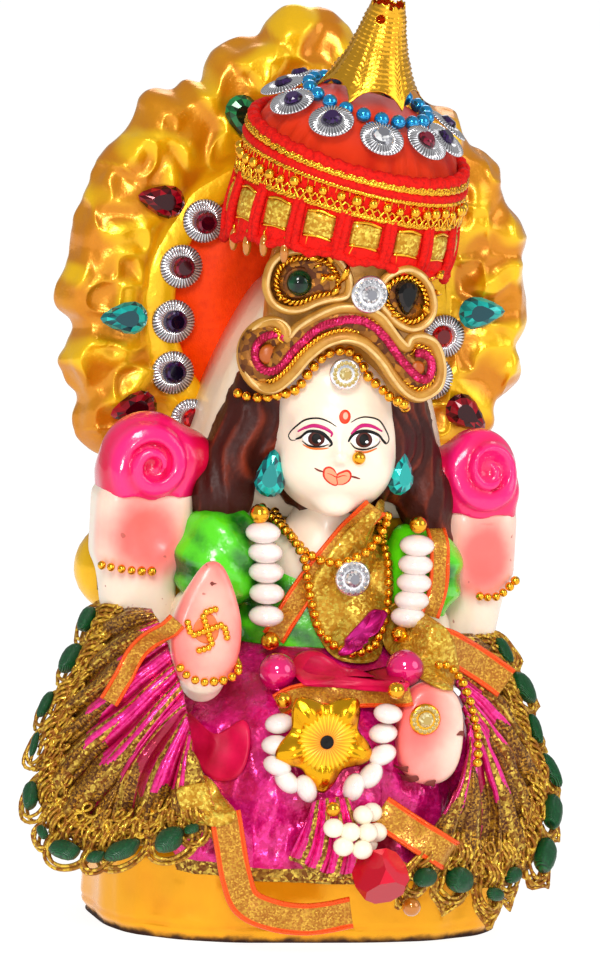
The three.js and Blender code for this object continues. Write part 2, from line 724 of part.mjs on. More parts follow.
function chestCloth() {
  const panel = { left: -6, width: 20, top: 85, height: 24, steps: 4 };
  const corner = (c, r, depth) => {
    const x = panel.left + (panel.width * c) / panel.steps;
    const z = panel.top - (panel.height * r) / panel.steps;
    return vector(x, frontAt(x, z, 3) - depth, z);
  };
  const face = (r, depth) => count(panel.steps + 1, (c) => corner(c, r, depth));
  return thinLoft(count(panel.steps + 1, (r) => [...face(r, 1.3), ...face(r, 0.5).reverse()]));
}

function ribbon(places, width, steps, farthest = Infinity) {
  const path = laid(places, 1.7, { reach: width / 2, farthest });
  const place = (u, v) => {
    const across = path.getTangentAt(u).cross(FRONT).normalize();
    return path.getPointAt(u).addScaledVector(across, (v - 0.5) * width);
  };
  return sheet(place, steps, 1, 0.7);
}

// Ornaments, whose routes are [x, z] places in the front view

const CROWN_UPPER = [
  [-9, 141.4], [-13.5, 143.6], [-18.6, 142.8], [-20.4, 139], [-18.6, 135], [-13.3, 133.6], [-7, 134.4],
  [-1, 134.4], [4.8, 133], [10, 130.6], [14.4, 131.8], [15.4, 136], [12.6, 141],
];
const CROWN_LOWER = [
  [-15, 127.4], [-18.6, 128.8], [-22.6, 127.4], [-23.6, 123.6], [-20.6, 119.8], [-16.2, 120.4],
  [-12.4, 124.6], [-7.6, 129.2], [-1.6, 130.8], [3.6, 129.4], [7.4, 124.8], [11, 120.2], [15.2, 119.8],
  [16.4, 124], [13.8, 127.4],
];
const FOREHEAD = [
  [-17, 114.8], [-12.7, 116.6], [-8, 121.2], [-3, 124.4], [1, 124], [4.6, 119.6], [9, 115.8], [13.2, 112.8],
];
const CHEST_RIBBON = [[9.5, 92.6], [5.6, 87.2], [-0.1, 81.4], [-6.3, 73.9], [-11.4, 67.4], [-14.4, 64]];
const SHORT_CHAIN = [
  [-13.4, 90.4], [-10.8, 85], [-7.6, 80.2], [-3.8, 75.4], [0.4, 72.2], [4.6, 72.8], [7.6, 77.6], [8.6, 88.4],
];
const LONG_CHAIN = [
  [-15.4, 91.4], [-12.2, 86], [-9.6, 79.4], [-6.6, 73.6], [-3.2, 69.2], [0.3, 64.8], [4.2, 60.4],
  [8, 62], [10.8, 67], [11.2, 73.4],
];
const BRACELETS = [
  ["bracelet_raised_left", [[-49.8, 75], [-46.4, 74], [-42.6, 73.3], [-39.2, 73.2]]],
  ["bracelet_raised_right", [[33.5, 71.5], [38, 70.8], [42, 72], [45.8, 74.6]]],
  ["bracelet_blessing", [[-37.6, 61], [-34, 58.2], [-30.4, 57.4], [-26.8, 58.2], [-23.4, 61]]],
  ["bracelet_giving", [[24, 55.4], [26.8, 50.5], [27.4, 44], [26, 38]]],
];
const GARLAND_LEFT = [[-18.9, 91.6], [-18, 84], [-17.4, 75], [-16.4, 64.4]];
const GARLAND_RIGHT = [[14.4, 91.6], [15.1, 83], [15.4, 74], [16.6, 65]];
const GARLAND_LOWER = [
  [-16.6, 50.6], [-17.5, 45], [-15.8, 39.6], [-10.6, 35.4], [-4, 34.2], [1.8, 36], [5.6, 41], [7.4, 51],
];
const RIGHT_RIBBON = [[21.5, 63.5], [26.5, 61.5], [31, 59]];
const HEM_RIBBON = [[-22, 22.5], [-17, 16.5], [-10, 12.5], [-2, 11], [3, 10.5]];

function starFlower() {
  const { x, z, tip, notch } = STAR;
  const y = frontAt(x, z, tip) - GAP;
  const ring = (share, depth) =>
    count(10, (i) => {
      const turn = radians(36 * i - 90);
      const radius = (i % 2 ? notch : tip) * share;
      return vector(x + radius * Math.cos(turn), y - depth, z + radius * Math.sin(turn));
    });
  return loft([ring(0.9, 0), ring(1, 0.8), ring(0.6, 3), ring(0.3, 1.8)]);
}

function beadCluster(x, y, z) {
  const [petals, reach, radius] = [5, 3.3, 2.2];
  const at = (i) => vector(x + reach * Math.cos(i), y, z + reach * Math.sin(i));
  const ring = curve(count(2 * petals, (i) => at((i * Math.PI) / petals)), true);
  const centre = solid(new THREE.OctahedronGeometry(radius * 1.2, 1).translate(x, y - 1, z));
  return beads(ring, radius, ring.getLength() / petals, 5, 0.7).add(centre);
}

// A cube with its corners cut off, turned a little on its thread.
function cutBead(x, y, z) {
  const size = 8.6;
  const turnedSolid = (geometry) => solid(geometry.rotateY(radians(38)).rotateX(radians(20)));
  const cube = turnedSolid(new THREE.BoxGeometry(size, size, size));
  const corners = turnedSolid(new THREE.OctahedronGeometry(size * 1.15));
  return moved(cube.intersect(corners), new THREE.Matrix4().makeTranslation(x, y, z));
}

function laidBall(x, z, radius) {
  const around = radius > 2 ? 8 : 6;
  const y = frontAt(x, z, radius) - radius - GAP;
  return ellipsoid([x, y, z], [radius, radius, radius], around, around - 2);
}

// The old auspicious sign in gold beads on the raised palm: four arms, each bent to one side.
function palmMark(x, z) {
  const [reach, radius] = [3.3, 0.55];
  const y = frontAt(x, z, 3) - radius - GAP;
  const at = (turn, out, side) => {
    const along = vector(Math.cos(turn), 0, Math.sin(turn));
    return vector(x, y, z).addScaledVector(along, out).addScaledVector(along.cross(FRONT), side);
  };
  const arms = count(4, (i) => {
    const turn = radians(20 + 90 * i);
    const arm = bar(at(turn, -0.3, 0), at(turn, reach, 0), radius, radius, 3);
    const [corner, tip] = [at(turn, reach - 0.2, -radius), at(turn, reach - 0.2, reach * 0.9)];
    return arm.add(bar(corner, tip, radius, radius, 3));
  });
  return union(arms);
}

// The model

const model = new THREE.Group();

function add(name, body, [color, roughness, metalness]) {
  const material = new THREE.MeshStandardMaterial({ color, roughness, metalness });
  const mesh = new THREE.Mesh(geometryOf(body), material);
  mesh.name = name;
  model.add(mesh);
  placed.push(mesh);
  return body;
}

add("painted_idol", idol, YELLOW_PAINT);

add("cap_dome", capDome(), RED_SATIN);
add("cap_lace", capLace(), GOLD_LACE);
add("cap_blue_beads", capBlueBeads(), BLUE_METAL);
add("cap_mirrors", capMirrors(), SILVER);
add("cap_finial", capFinial(), GOLD);

add("arch_mirrors", archMirrors(), SILVER);
for (const [name, x, z, turn, colour] of ARCH_STONES) {
  add(name, turnedDrop([3.3, 9.5, 2.4], [x, HALO.front - 1.6 - HALO.foldDepth - GAP, z], turn), colour);
}

const lap = add("lap_cloth", lapCloth(), MAGENTA_FOIL);
const lapClear = union([lapForm(4), lap]);
add("fan_left", fan(LEFT_FAN), MAGENTA_FOIL);
add("fan_right", fan(RIGHT_FAN), MAGENTA_FOIL);
add("lace_left", laceBorder(LEFT_FAN), GOLD_LACE);
add("lace_right", laceBorder(RIGHT_FAN), GOLD_LACE);
add("chest_cloth", chestCloth(), GOLD);
add("front_pleats", frontPleats(), MAGENTA_FOIL);

// Crown ornament and face
add("crown_cord_upper", cord(laid(CROWN_UPPER, 1.1, { halfSpan: 17 }), 1.1, 5, 4), GOLD_CORD);
add("crown_cord_lower", cord(laid(CROWN_LOWER, 1.5, { halfSpan: 18 }), 1.5, 5, 4), GOLD_CORD);
add("crown_stone_left", laidStone(roundStone(3.2, 1.6, 2.4), -13.5, 139, 3.2), DARK_CRYSTAL);
add("crown_stone_right", laidStone(roundStone(3.2, 1.6, 2.4), 9.9, 137, 3.2), DARK_CRYSTAL);
add("crown_rhinestone", laidStone(roundStone(3.4, 2, 2), 0.7, 138, 3.4), CLEAR_CRYSTAL);
add("forehead_beads", beads(laid(FOREHEAD, BEAD.gold), BEAD.gold, STRING_PITCH), GOLD);
add("forehead_stone", laidStone(roundStone(3.1, 2, 1.8), -1.6, 120.2, 1), CLEAR_CRYSTAL);
add("nose_bead", laidBall(2.4, 102.7, 1.3), GOLD);
add("ear_drop_left", laidDrop([2.9, 9, 2.6], -14.4, 97.2, 8), TEAL_CRYSTAL);
add("ear_drop_right", laidDrop([2.7, 9, 2.6], 17.8, 98.6, -4), TEAL_CRYSTAL);

// Chest and arms
add("chest_ribbon", ribbon(CHEST_RIBBON, 5, 8), GAUZE);
add("chest_stone", laidStone(roundStone(3.5, 2, 2.2), 1.9, 77.3, 3.6), CLEAR_CRYSTAL);
add("neck_chain_short", beads(laid(SHORT_CHAIN, BEAD.gold), BEAD.gold, STRING_PITCH), GOLD);
add("neck_chain_long", beads(laid(LONG_CHAIN, BEAD.gold, { reach: 2.6 }), BEAD.gold, STRING_PITCH), GOLD);
for (const [name, places] of BRACELETS) {
  add(name, beads(laid(places, BEAD.gold), BEAD.gold, STRING_PITCH), GOLD);
}
add("palm_stone", laidStone(roundStone(2.7, 1.6, 1.8), 17.6, 48.6, 1.6), CLEAR_CRYSTAL);
add("palm_mark", palmMark(-30.4, 67.8), GOLD);

// Garland, flower and drops
add("garland_left", beads(laid(GARLAND_LEFT, BEAD.white), BEAD.white, 3.6, 5), MILK_BEAD);
add("garland_right", beads(laid(GARLAND_RIGHT, BEAD.white), BEAD.white, 3.6, 5), MILK_BEAD);
add("pink_pearl_left", laidBall(-14.4, 58.4, BEAD.pink), PINK_PEARL);
add("pink_pearl_right", laidBall(14.2, 60.8, BEAD.pink), PINK_PEARL);
add("garland_lower", beads(laid(GARLAND_LOWER, BEAD.white), BEAD.white, 5, 5), MILK_BEAD);
add("star_flower", starFlower(), GOLD);
add("lap_ribbon_right", ribbon(RIGHT_RIBBON, 6, 6), GAUZE);
add("hem_ribbon", ribbon(HEM_RIBBON, 6.5, 8, -44), GAUZE);
add("bead_cluster", beadCluster(0.2, frontAt(0.2, 26.6, 5) - 2.1 - GAP, 26.6), MILK_BEAD);
add("cut_bead", cutBead(7.4, frontAt(7.4, 15.8, 4) - 5.6, 15.8), PINK_PEARL);
add("hem_pearl", laidBall(14.9, 10, BEAD.pearl), MILK_BEAD);

export default model;
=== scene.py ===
"""A small painted plaster idol of a seated, four-armed goddess, dressed in cloth, lace, beads and stones.

Lengths in the making functions are millimetres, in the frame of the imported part: +X right, +Z up,
and the goddess looks along -Y. Places named [x, z] are seen from the front.
"""

import math

import bmesh
import bpy
import numpy as np
from mathutils import Matrix, Vector
from mathutils.bvhtree import BVHTree


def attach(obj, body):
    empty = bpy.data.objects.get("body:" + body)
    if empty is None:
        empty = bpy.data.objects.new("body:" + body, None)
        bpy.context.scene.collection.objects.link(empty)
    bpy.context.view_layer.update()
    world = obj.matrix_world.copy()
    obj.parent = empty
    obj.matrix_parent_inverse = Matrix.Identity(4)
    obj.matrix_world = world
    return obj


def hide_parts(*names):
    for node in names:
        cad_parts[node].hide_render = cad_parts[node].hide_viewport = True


bl_info = {
    "name": "Dressed goddess idol",
    "version": (1, 0, 0),
    "blender": (4, 5, 0),
    "location": "View3D > Sidebar > Idol",
    "description": "Builds a painted plaster idol and everything it is dressed in",
    "category": "Add Mesh",
}

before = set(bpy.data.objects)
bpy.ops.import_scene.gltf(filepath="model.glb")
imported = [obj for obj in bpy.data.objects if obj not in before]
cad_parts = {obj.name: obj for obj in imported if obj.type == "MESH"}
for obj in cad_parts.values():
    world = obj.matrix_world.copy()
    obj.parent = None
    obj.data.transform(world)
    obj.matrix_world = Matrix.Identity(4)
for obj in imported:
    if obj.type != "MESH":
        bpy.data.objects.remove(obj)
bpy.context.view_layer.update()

MM = 0.001
TAU = 2 * math.pi


def tint(code):
    """A paint-chip code such as F2A51E as the linear colour that shaders use."""
    parts = [int(code[i : i + 2], 16) / 255 for i in (0, 2, 4)]
    return tuple(c / 12.92 if c <= 0.04045 else ((c + 0.055) / 1.055) ** 2.4 for c in parts)


def unit(vectors):
    return vectors / np.maximum(np.linalg.norm(vectors, axis=-1, keepdims=True), 1e-9)


def full_turn(steps):
    """Even angles once round, in radians."""
    return np.arange(steps) * TAU / steps


def ringed(width, depth, turn, height):
    """Points round +Z, from half widths, half depths, angles and heights."""
    return np.stack(np.broadcast_arrays(width * np.cos(turn), depth * np.sin(turn), height), axis=-1)


def at_depth(flat, y):
    """[x, z] places as points at that y."""
    return np.stack(np.broadcast_arrays(flat[:, 0], y, flat[:, 1]), axis=-1)


# Forms: points in millimetres, faces as four corners (the last is -1 in a triangle), a tone for each point


class Form:
    def __init__(self, points, faces, tone=0.0):
        self.points = np.asarray(points, float).reshape(-1, 3)
        self.faces = np.asarray(faces, int).reshape(-1, 4)
        self.tone = np.broadcast_to(np.asarray(tone, float), len(self.points)).copy()

    def moved(self, origin, x_axis=(1, 0, 0), y_axis=(0, 1, 0), z_axis=(0, 0, 1), scale=1.0):
        """A copy whose local axes lie along the given ones, at origin."""
        basis = np.array([x_axis, y_axis, z_axis], float)
        return Form(self.points * scale @ basis + np.asarray(origin, float), self.faces, self.tone)

    def toned(self, tone):
        return Form(self.points, self.faces, tone)


def joined(forms):
    """One form from several."""
    points, faces, tones, start = [], [], [], 0
    for form in forms:
        points.append(form.points)
        faces.append(np.where(form.faces < 0, -1, form.faces + start))
        tones.append(form.tone)
        start += len(form.points)
    return Form(np.concatenate(points), np.concatenate(faces), np.concatenate(tones))


def grid_form(points, wrap_rows=False, wrap_columns=False, tone=0.0):
    """The skin over a grid of points (rows, columns, 3)."""
    rows, columns = points.shape[:2]
    index = np.arange(rows * columns).reshape(rows, columns)
    if wrap_rows:
        index = np.vstack([index, index[:1]])
    if wrap_columns:
        index = np.hstack([index, index[:, :1]])
    faces = np.stack([index[:-1, :-1], index[:-1, 1:], index[1:, 1:], index[1:, :-1]], axis=-1)
    tones = np.broadcast_to(tone, points.shape[:2]).reshape(-1)
    return Form(points.reshape(-1, 3), faces.reshape(-1, 4), tones)


def slab(points, thickness, tone=0.0):
    """A grid of points as a closed sheet of that thickness."""
    half = grid_normals(points) * (thickness / 2)
    rows, columns = points.shape[:2]
    loop = np.concatenate([points + half, (points - half)[:, ::-1]], axis=1)
    tones = np.broadcast_to(tone, points.shape[:2])
    body = grid_form(loop, wrap_columns=True, tone=np.concatenate([tones, tones[:, ::-1]], axis=1))
    ends = []
    for row, flip in ((0, True), (rows - 1, False)):
        start = row * 2 * columns
        for c in range(columns - 1):
            corners = [start + c, start + c + 1, start + 2 * columns - 2 - c, start + 2 * columns - 1 - c]
            ends.append(corners[::-1] if flip else corners)
    return Form(body.points, np.vstack([body.faces, ends]), body.tone)


def grid_normals(points):
    return unit(np.cross(np.gradient(points, axis=1), np.gradient(points, axis=0)))


def capped(points, tone=0.5):
    """Rings of points as a closed body, its ends closed to their middles."""
    form = grid_form(points, wrap_columns=True, tone=tone)
    sides = points.shape[1]
    count = len(form.points)
    here = np.arange(sides)
    after = np.roll(here, -1)
    nothing = np.full(sides, -1)
    low = np.stack([np.full(sides, count), after, here, nothing], axis=-1)
    last = count - sides
    high = np.stack([np.full(sides, count + 1), last + here, last + after, nothing], axis=-1)
    ends = [points[0].mean(0), points[-1].mean(0)]
    tones = np.concatenate([form.tone, [form.tone[0], form.tone[-1]]])
    return Form(np.vstack([form.points, ends]), np.vstack([form.faces, low, high]), tones)


def lathe(profile, sides, tone=0.0):
    """A round body about +Z from (radius, z) pairs, its ends closed to the axis."""
    radius, height = np.array(profile, float).T[:, :, None]
    return capped(ringed(radius, radius, full_turn(sides), height), tone)


def ball(radius, sides=12, squash=1.0):
    """A bead: a sphere whose height is squash times its width."""
    steps = max(4, sides // 2)
    angles = [math.pi * i / steps for i in range(1, steps)]
    profile = [(radius * math.sin(a), -radius * squash * math.cos(a)) for a in angles]
    tip = 0.02 * radius
    swell = radius * squash * (1 - math.cos(math.pi / steps)) * 0.7
    return lathe([(tip, profile[0][1] - swell), *profile, (tip, profile[-1][1] + swell)], sides)


# Curves


def reach_along(line):
    """How far along the line each of its points is."""
    return np.concatenate([[0], np.cumsum(np.linalg.norm(np.diff(line, axis=0), axis=1))])


def sampled(line, reach, wanted):
    """The places on a line at the wanted reaches, given the reach of each of its points."""
    return np.stack([np.interp(wanted, reach, column) for column in line.T], axis=-1)


def smooth_path(places, samples, closed=False):
    """Evenly spaced points on a smooth curve through the places."""
    places = np.asarray(places, float)
    if closed:
        padded = np.vstack([places[-1:], places, places[:2]])
    else:
        padded = np.vstack([2 * places[0] - places[1], places, 2 * places[-1] - places[-2]])
    t = np.linspace(0, 1, 24, endpoint=False)[:, None]
    dense = []
    for a, b, c, d in zip(padded, padded[1:], padded[2:], padded[3:]):
        square, cube = 2 * a - 5 * b + 4 * c - d, 3 * b - a - 3 * c + d
        dense.append(0.5 * (2 * b + (c - a) * t + square * t**2 + cube * t**3))
    dense = np.vstack([*dense, padded[-2:-1]])
    reach = reach_along(dense)
    wanted = np.linspace(0, reach[-1], samples + 1 if closed else samples)
    return sampled(dense, reach, wanted[:-1] if closed else wanted)


def path_length(path, closed=False):
    steps = np.diff(np.vstack([path, path[:1]]) if closed else path, axis=0)
    return float(np.linalg.norm(steps, axis=1).sum())


def tangents(path, closed=False):
    if closed:
        return unit(np.roll(path, -1, axis=0) - np.roll(path, 1, axis=0))
    return unit(np.gradient(path, axis=0))


def square_frames(path, closed=False):
    """For each point: the direction along, one across, and one as near as can be to the viewer's."""
    along = tangents(path, closed)
    toward = np.broadcast_to([0.0, -1.0, 0.0], along.shape)
    out = toward - (toward * along).sum(1, keepdims=True) * along
    size = np.linalg.norm(out, axis=1, keepdims=True)
    spare = np.cross(along, [1.0, 0.0, 0.0])
    out = unit(np.where(size > 0.05, out / np.maximum(size, 1e-9), spare))
    return along, np.cross(along, out), out


def tube(path, radius, sides=8, closed=False, flat=1.0, tone=0.0):
    """A cord along a path. flat is its height over its width."""
    _, across, out = square_frames(path, closed)
    turns = full_turn(sides)[None, :, None]
    radius = np.broadcast_to(np.asarray(radius, float), len(path))[:, None, None]
    ring = across[:, None] * np.cos(turns) + out[:, None] * flat * np.sin(turns)
    points = path[:, None] + radius * ring
    if closed:
        return grid_form(points, wrap_rows=True, wrap_columns=True, tone=tone)
    return capped(points, tone)


def twisted(path, radius, strands, turns_per_mm, strand_radius, sides=6, closed=False):
    """Strands wound round each other along a path."""
    _, across, out = square_frames(path, closed)
    reach = reach_along(path)
    total = reach[-1] * turns_per_mm
    if closed:
        total = round(total)
    angle = reach / reach[-1] * total * TAU
    forms = []
    for k in range(strands):
        a = (angle + TAU * k / strands)[:, None]
        line = path + radius * (across * np.cos(a) + out * np.sin(a))
        forms.append(tube(line, strand_radius, sides, closed))
    return joined(forms)


def strung(path, bead, pitch, closed=False, jitter=0.0):
    """Copies of a bead, whose hole runs along its local Z, threaded on a path, each of its own tone."""
    rng = np.random.default_rng(1)
    length = path_length(path, closed)
    number = max(2, round(length / pitch))
    line = np.vstack([path, path[:1]]) if closed else path
    wanted = (np.arange(number) + (0 if closed else 0.5)) * length / number
    spots = sampled(line, reach_along(line), wanted)
    forms = []
    for spot, along, across, out in zip(spots, *square_frames(spots, closed)):
        tone = rng.uniform()
        shift = rng.normal(0, jitter, 3) if jitter else 0
        size = 1 + (rng.uniform(-0.06, 0.06) if jitter else 0)
        forms.append(bead.moved(spot + shift, across, out, along, size).toned(tone))
    return joined(forms)


# Smooth uneven values, the same on each run


def scattered(cells, seed):
    x, y, z = (np.asarray(c, np.int64) for c in cells)
    mix = (x * 73856093) ^ (y * 19349663) ^ (z * 83492791) ^ (seed * 2654435761)
    mix = ((mix ^ (mix >> 13)) * 1274126177) & 0xFFFFFFFF
    return ((mix ^ (mix >> 16)) & 0xFFFF) / 65535


def unevenness(points, size, seed=0):
    """Smooth noise from -1 to 1 with features of that size."""
    p = np.asarray(points, float) / size
    cell = np.floor(p).astype(np.int64)
    f = p - cell
    f = f * f * f * (f * (f * 6 - 15) + 10)
    total = 0
    for dx in (0, 1):
        for dy in (0, 1):
            for dz in (0, 1):
                share = (
                    (f[..., 0] if dx else 1 - f[..., 0])
                    * (f[..., 1] if dy else 1 - f[..., 1])
                    * (f[..., 2] if dz else 1 - f[..., 2])
                )
                corner = (cell[..., 0] + dx, cell[..., 1] + dy, cell[..., 2] + dz)
                total = total + share * scattered(corner, seed)
    return total * 2 - 1


def blend_step(value, low, high):
    t = np.clip((value - low) / (high - low), 0, 1)
    return t * t * (3 - 2 * t)


# Carved forms: signed distances on a grid, and the skin of their zero level


def near_ellipsoid(p, centre, radii):
    q = (p - np.asarray(centre, float)) / np.asarray(radii, float)
    k0 = np.linalg.norm(q, axis=-1)
    k1 = np.linalg.norm(q / np.asarray(radii, float), axis=-1)
    return k0 * (k0 - 1) / np.maximum(k1, 1e-9)


def near_box(p, middle, half, rounding):
    """Distance from a box that is rounding larger on every side than half, with round edges."""
    q = np.abs(p - middle) - half
    return np.linalg.norm(np.maximum(q, 0), axis=-1) + np.minimum(q.max(-1), 0) - rounding


def near_plate(flat, thickness, rounding):
    """Where an outline and a thickness meet, with round edges, from the distance to each."""
    rounded = np.hypot(np.maximum(flat + rounding, 0), np.maximum(thickness + rounding, 0)) - rounding
    at_edge = (flat > -rounding) & (thickness > -rounding)
    return np.where(at_edge, rounded, np.maximum(flat, thickness))


def near_bone(p, a, b, ra, rb, depth=1.0):
    """A limb from a to b that changes radius, and is depth times as deep along Y as it is wide."""
    squeeze = np.array([1, 1 / depth, 1])
    p, a, b = p * squeeze, np.asarray(a, float) * squeeze, np.asarray(b, float) * squeeze
    along = b - a
    t = np.clip(((p - a) @ along) / (along @ along), 0, 1)
    return np.linalg.norm(p - a - t[..., None] * along, axis=-1) - (ra + (rb - ra) * t)


def melt(a, b, width):
    """The two forms joined with a soft fillet."""
    h = np.clip(0.5 + 0.5 * (b - a) / width, 0, 1)
    return b + (a - b) * h - width * h * (1 - h)


def carve(a, b, width):
    """a with b taken out of it, softly."""
    return -melt(-a, b, width)


def skin_of(distance, low, high, step):
    """Surface nets over the box from low to high: the smooth skin of distance's zero level."""
    axes = [np.arange(low[k], high[k] + step, step) for k in range(3)]
    field = distance(np.stack(np.meshgrid(*axes, indexing="ij"), axis=-1))
    inside = field < 0
    dims = np.array(field.shape) - 1
    total = np.zeros((*dims, 3))
    hits = np.zeros(dims)
    crossings = []
    for axis in range(3):
        u, v = [k for k in range(3) if k != axis]
        start = [slice(None)] * 3
        end = [slice(None)] * 3
        start[axis], end[axis] = slice(0, -1), slice(1, None)
        a, b = field[tuple(start)], field[tuple(end)]
        cross = inside[tuple(start)] != inside[tuple(end)]
        share = np.where(cross, a / np.where(a == b, 1, a - b), 0)
        crossings.append((cross, inside[tuple(start)]))
        for du in (0, 1):
            for dv in (0, 1):
                part = [slice(None)] * 3
                part[u] = slice(du, du + dims[u])
                part[v] = slice(dv, dv + dims[v])
                here = cross[tuple(part)]
                hits += here
                total[..., axis] += share[tuple(part)] * here
                total[..., u] += here * du
                total[..., v] += here * dv
    active = hits > 0
    index = np.full(dims, -1)
    index[active] = np.arange(active.sum())
    points = (np.argwhere(active) + total[active] / hits[active][:, None]) * step
    points += [axes[k][0] for k in range(3)]
    faces = []
    for axis, (cross, filled) in enumerate(crossings):
        u, v = [k for k in range(3) if k != axis]
        spots = np.argwhere(cross)
        spots = spots[
            (spots[:, u] > 0) & (spots[:, v] > 0) & (spots[:, u] < dims[u]) & (spots[:, v] < dims[v])
        ]
        corners = []
        for du, dv in ((1, 1), (0, 1), (0, 0), (1, 0)):
            cell = spots.copy()
            cell[:, u] -= du
            cell[:, v] -= dv
            corners.append(index[tuple(cell.T)])
        quad = np.stack(corners, axis=-1)
        flip = filled[tuple(spots.T)] ^ (axis == 1)
        quad[~flip] = quad[~flip][:, ::-1]
        faces.append(quad)
    return Form(points, np.vstack(faces))


# Pieces in the scene

CARRIERS = []


def add_piece(name, parts, node=None, slot=None, carries=False):
    """Makes a piece that rides on the idol and stands for a CAD node or nodes.

    Each of its parts is a finish, or a finish for each face, and a form.
    """
    names = [np.broadcast_to(np.array(finish, object), len(part.faces)) for finish, part in parts]
    names = np.concatenate(names)
    finishes = list(dict.fromkeys(names.tolist()))
    finish_of = np.array([finishes.index(name) for name in names])
    form = joined([part for _, part in parts])
    faceted = np.array([finish.endswith("gem") for finish in finishes])[finish_of]
    mesh = bpy.data.meshes.new(name)
    faces = form.faces
    quads = faces[:, 3] >= 0
    sizes = np.where(quads, 4, 3)
    mesh.vertices.add(len(form.points))
    mesh.vertices.foreach_set("co", (form.points * MM).astype(np.float32).ravel())
    mesh.loops.add(int(sizes.sum()))
    mesh.loops.foreach_set("vertex_index", faces[faces >= 0].astype(np.int32))
    mesh.polygons.add(len(faces))
    mesh.polygons.foreach_set("loop_start", np.concatenate([[0], np.cumsum(sizes)[:-1]]).astype(np.int32))
    for finish in finishes:
        mesh.materials.append(look(finish))
    mesh.polygons.foreach_set("material_index", finish_of.astype(np.int32))
    mesh.polygons.foreach_set("use_smooth", ~faceted)
    tone = mesh.attributes.new("tone", "FLOAT", "POINT")
    tone.data.foreach_set("value", form.tone.astype(np.float32))
    mesh.update(calc_edges=True)
    if mesh.validate():
        raise RuntimeError(f"{name} has broken faces")
    # Each gem facet gets a value from the way it faces, for its painted reflection.
    if faceted.any():
        normals = np.empty(len(faces) * 3, np.float32)
        mesh.polygon_normals.foreach_get("vector", normals)
        shade = scattered(np.rint(normals.reshape(-1, 3).T * 40), 5)
        facet = mesh.attributes.new("facet", "FLOAT", "FACE")
        facet.data.foreach_set("value", shade.astype(np.float32))
    piece = bpy.data.objects.new(name, mesh)
    bpy.context.scene.collection.objects.link(piece)
    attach(piece, "root")
    if node:
        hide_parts(*([node] if isinstance(node, str) else node))
    if carries:
        CARRIERS.append(skin_tree(form))
    return piece


def skin_tree(form):
    """The skin of a form, for rays to meet."""
    return BVHTree.FromPolygons(form.points.tolist(), [tuple(face[face >= 0]) for face in form.faces])


def front(x, z, reach=0.0, spokes=8, among=slice(None)):
    """The foremost y of what is already there, at [x, z] and within reach of it."""
    spots = [(x, z)]
    if reach:
        spots += [(x + reach * math.cos(turn), z + reach * math.sin(turn)) for turn in full_turn(spokes)]
    found = []
    for spot_x, spot_z in spots:
        for tree in CARRIERS[among]:
            hit = tree.ray_cast(Vector((spot_x, -200, spot_z)), Vector((0, 1, 0)))[0]
            if hit is not None:
                found.append(hit.y)
    return min(found, default=0.0)


def draped(places, lift, reach, step=1.0, tighten=60, farthest=None):
    """A path over the front from [x, z] places, pulled taut, lift in front of what carries it."""
    flat = smooth_path(places, max(6, round(path_length(smooth_path(places, 60)) / step)))
    depths = np.array([front(x, z, reach) - lift for x, z in flat])
    if farthest is not None:
        depths = np.minimum(depths, farthest)
    for _ in range(tighten):
        around = (np.roll(depths, 1) + np.roll(depths, -1)) / 2
        around[0], around[-1] = depths[0], depths[-1]
        depths = np.minimum(depths, around)
    return at_depth(flat, depths)


# Finishes


def feed(tree, socket, value):
    """Links a socket to another socket, or sets it to any other value."""
    if isinstance(value, bpy.types.NodeSocket):
        tree.links.new(value, socket)
    elif socket.type == "RGBA":
        socket.default_value = (*value[:3], 1)
    else:
        socket.default_value = value


def wire(tree, kind, inputs=None, **settings):
    """Adds a node with those settings, and feeds its inputs."""
    node = tree.nodes.new(kind)
    for key, value in settings.items():
        setattr(node, key, value)
    for key, value in (inputs or {}).items():
        feed(tree, node.inputs[key], value)
    return node


def own_place(tree):
    return wire(tree, "ShaderNodeTexCoord").outputs["Object"]


def mixed(tree, share, low, high):
    return wire(tree, "ShaderNodeMix", {0: share, 6: low, 7: high}, data_type="RGBA").outputs[2]


def ramped(tree, value, low, high, to_low=0.0, to_high=1.0):
    inputs = {"Value": value, "From Min": low, "From Max": high, "To Min": to_low, "To Max": to_high}
    return wire(tree, "ShaderNodeMapRange", inputs, interpolation_type="SMOOTHSTEP").outputs[0]


def reckoned(tree, operation, a, b=0.0):
    return wire(tree, "ShaderNodeMath", {0: a, 1: b}, operation=operation).outputs[0]


def build_mottle_and_shade(tree, given):
    """Paint clouded all over, deep to light by the tone of each point. Where a piece's tone follows its
    relief or its folds, this is painted shade in the hollows and painted highlight on the ridges.
    """
    tone = wire(tree, "ShaderNodeAttribute", attribute_name="tone", attribute_type="GEOMETRY").outputs["Fac"]
    inputs = {"Vector": own_place(tree), "Scale": given["Scale"], "Detail": 4.0, "Roughness": 0.6}
    noise = wire(tree, "ShaderNodeTexNoise", inputs).outputs["Fac"]
    cloud = reckoned(tree, "MULTIPLY", reckoned(tree, "SUBTRACT", noise, 0.5), given["Clouding"])
    level = reckoned(tree, "ADD", reckoned(tree, "MULTIPLY", tone, given["Relief"]), cloud)
    level = reckoned(tree, "ADD", level, given["Level"])
    share = ramped(tree, level, 0.0, 1.0)
    return {"Color": mixed(tree, share, given["Deep"], given["Light"]), "Height": noise}


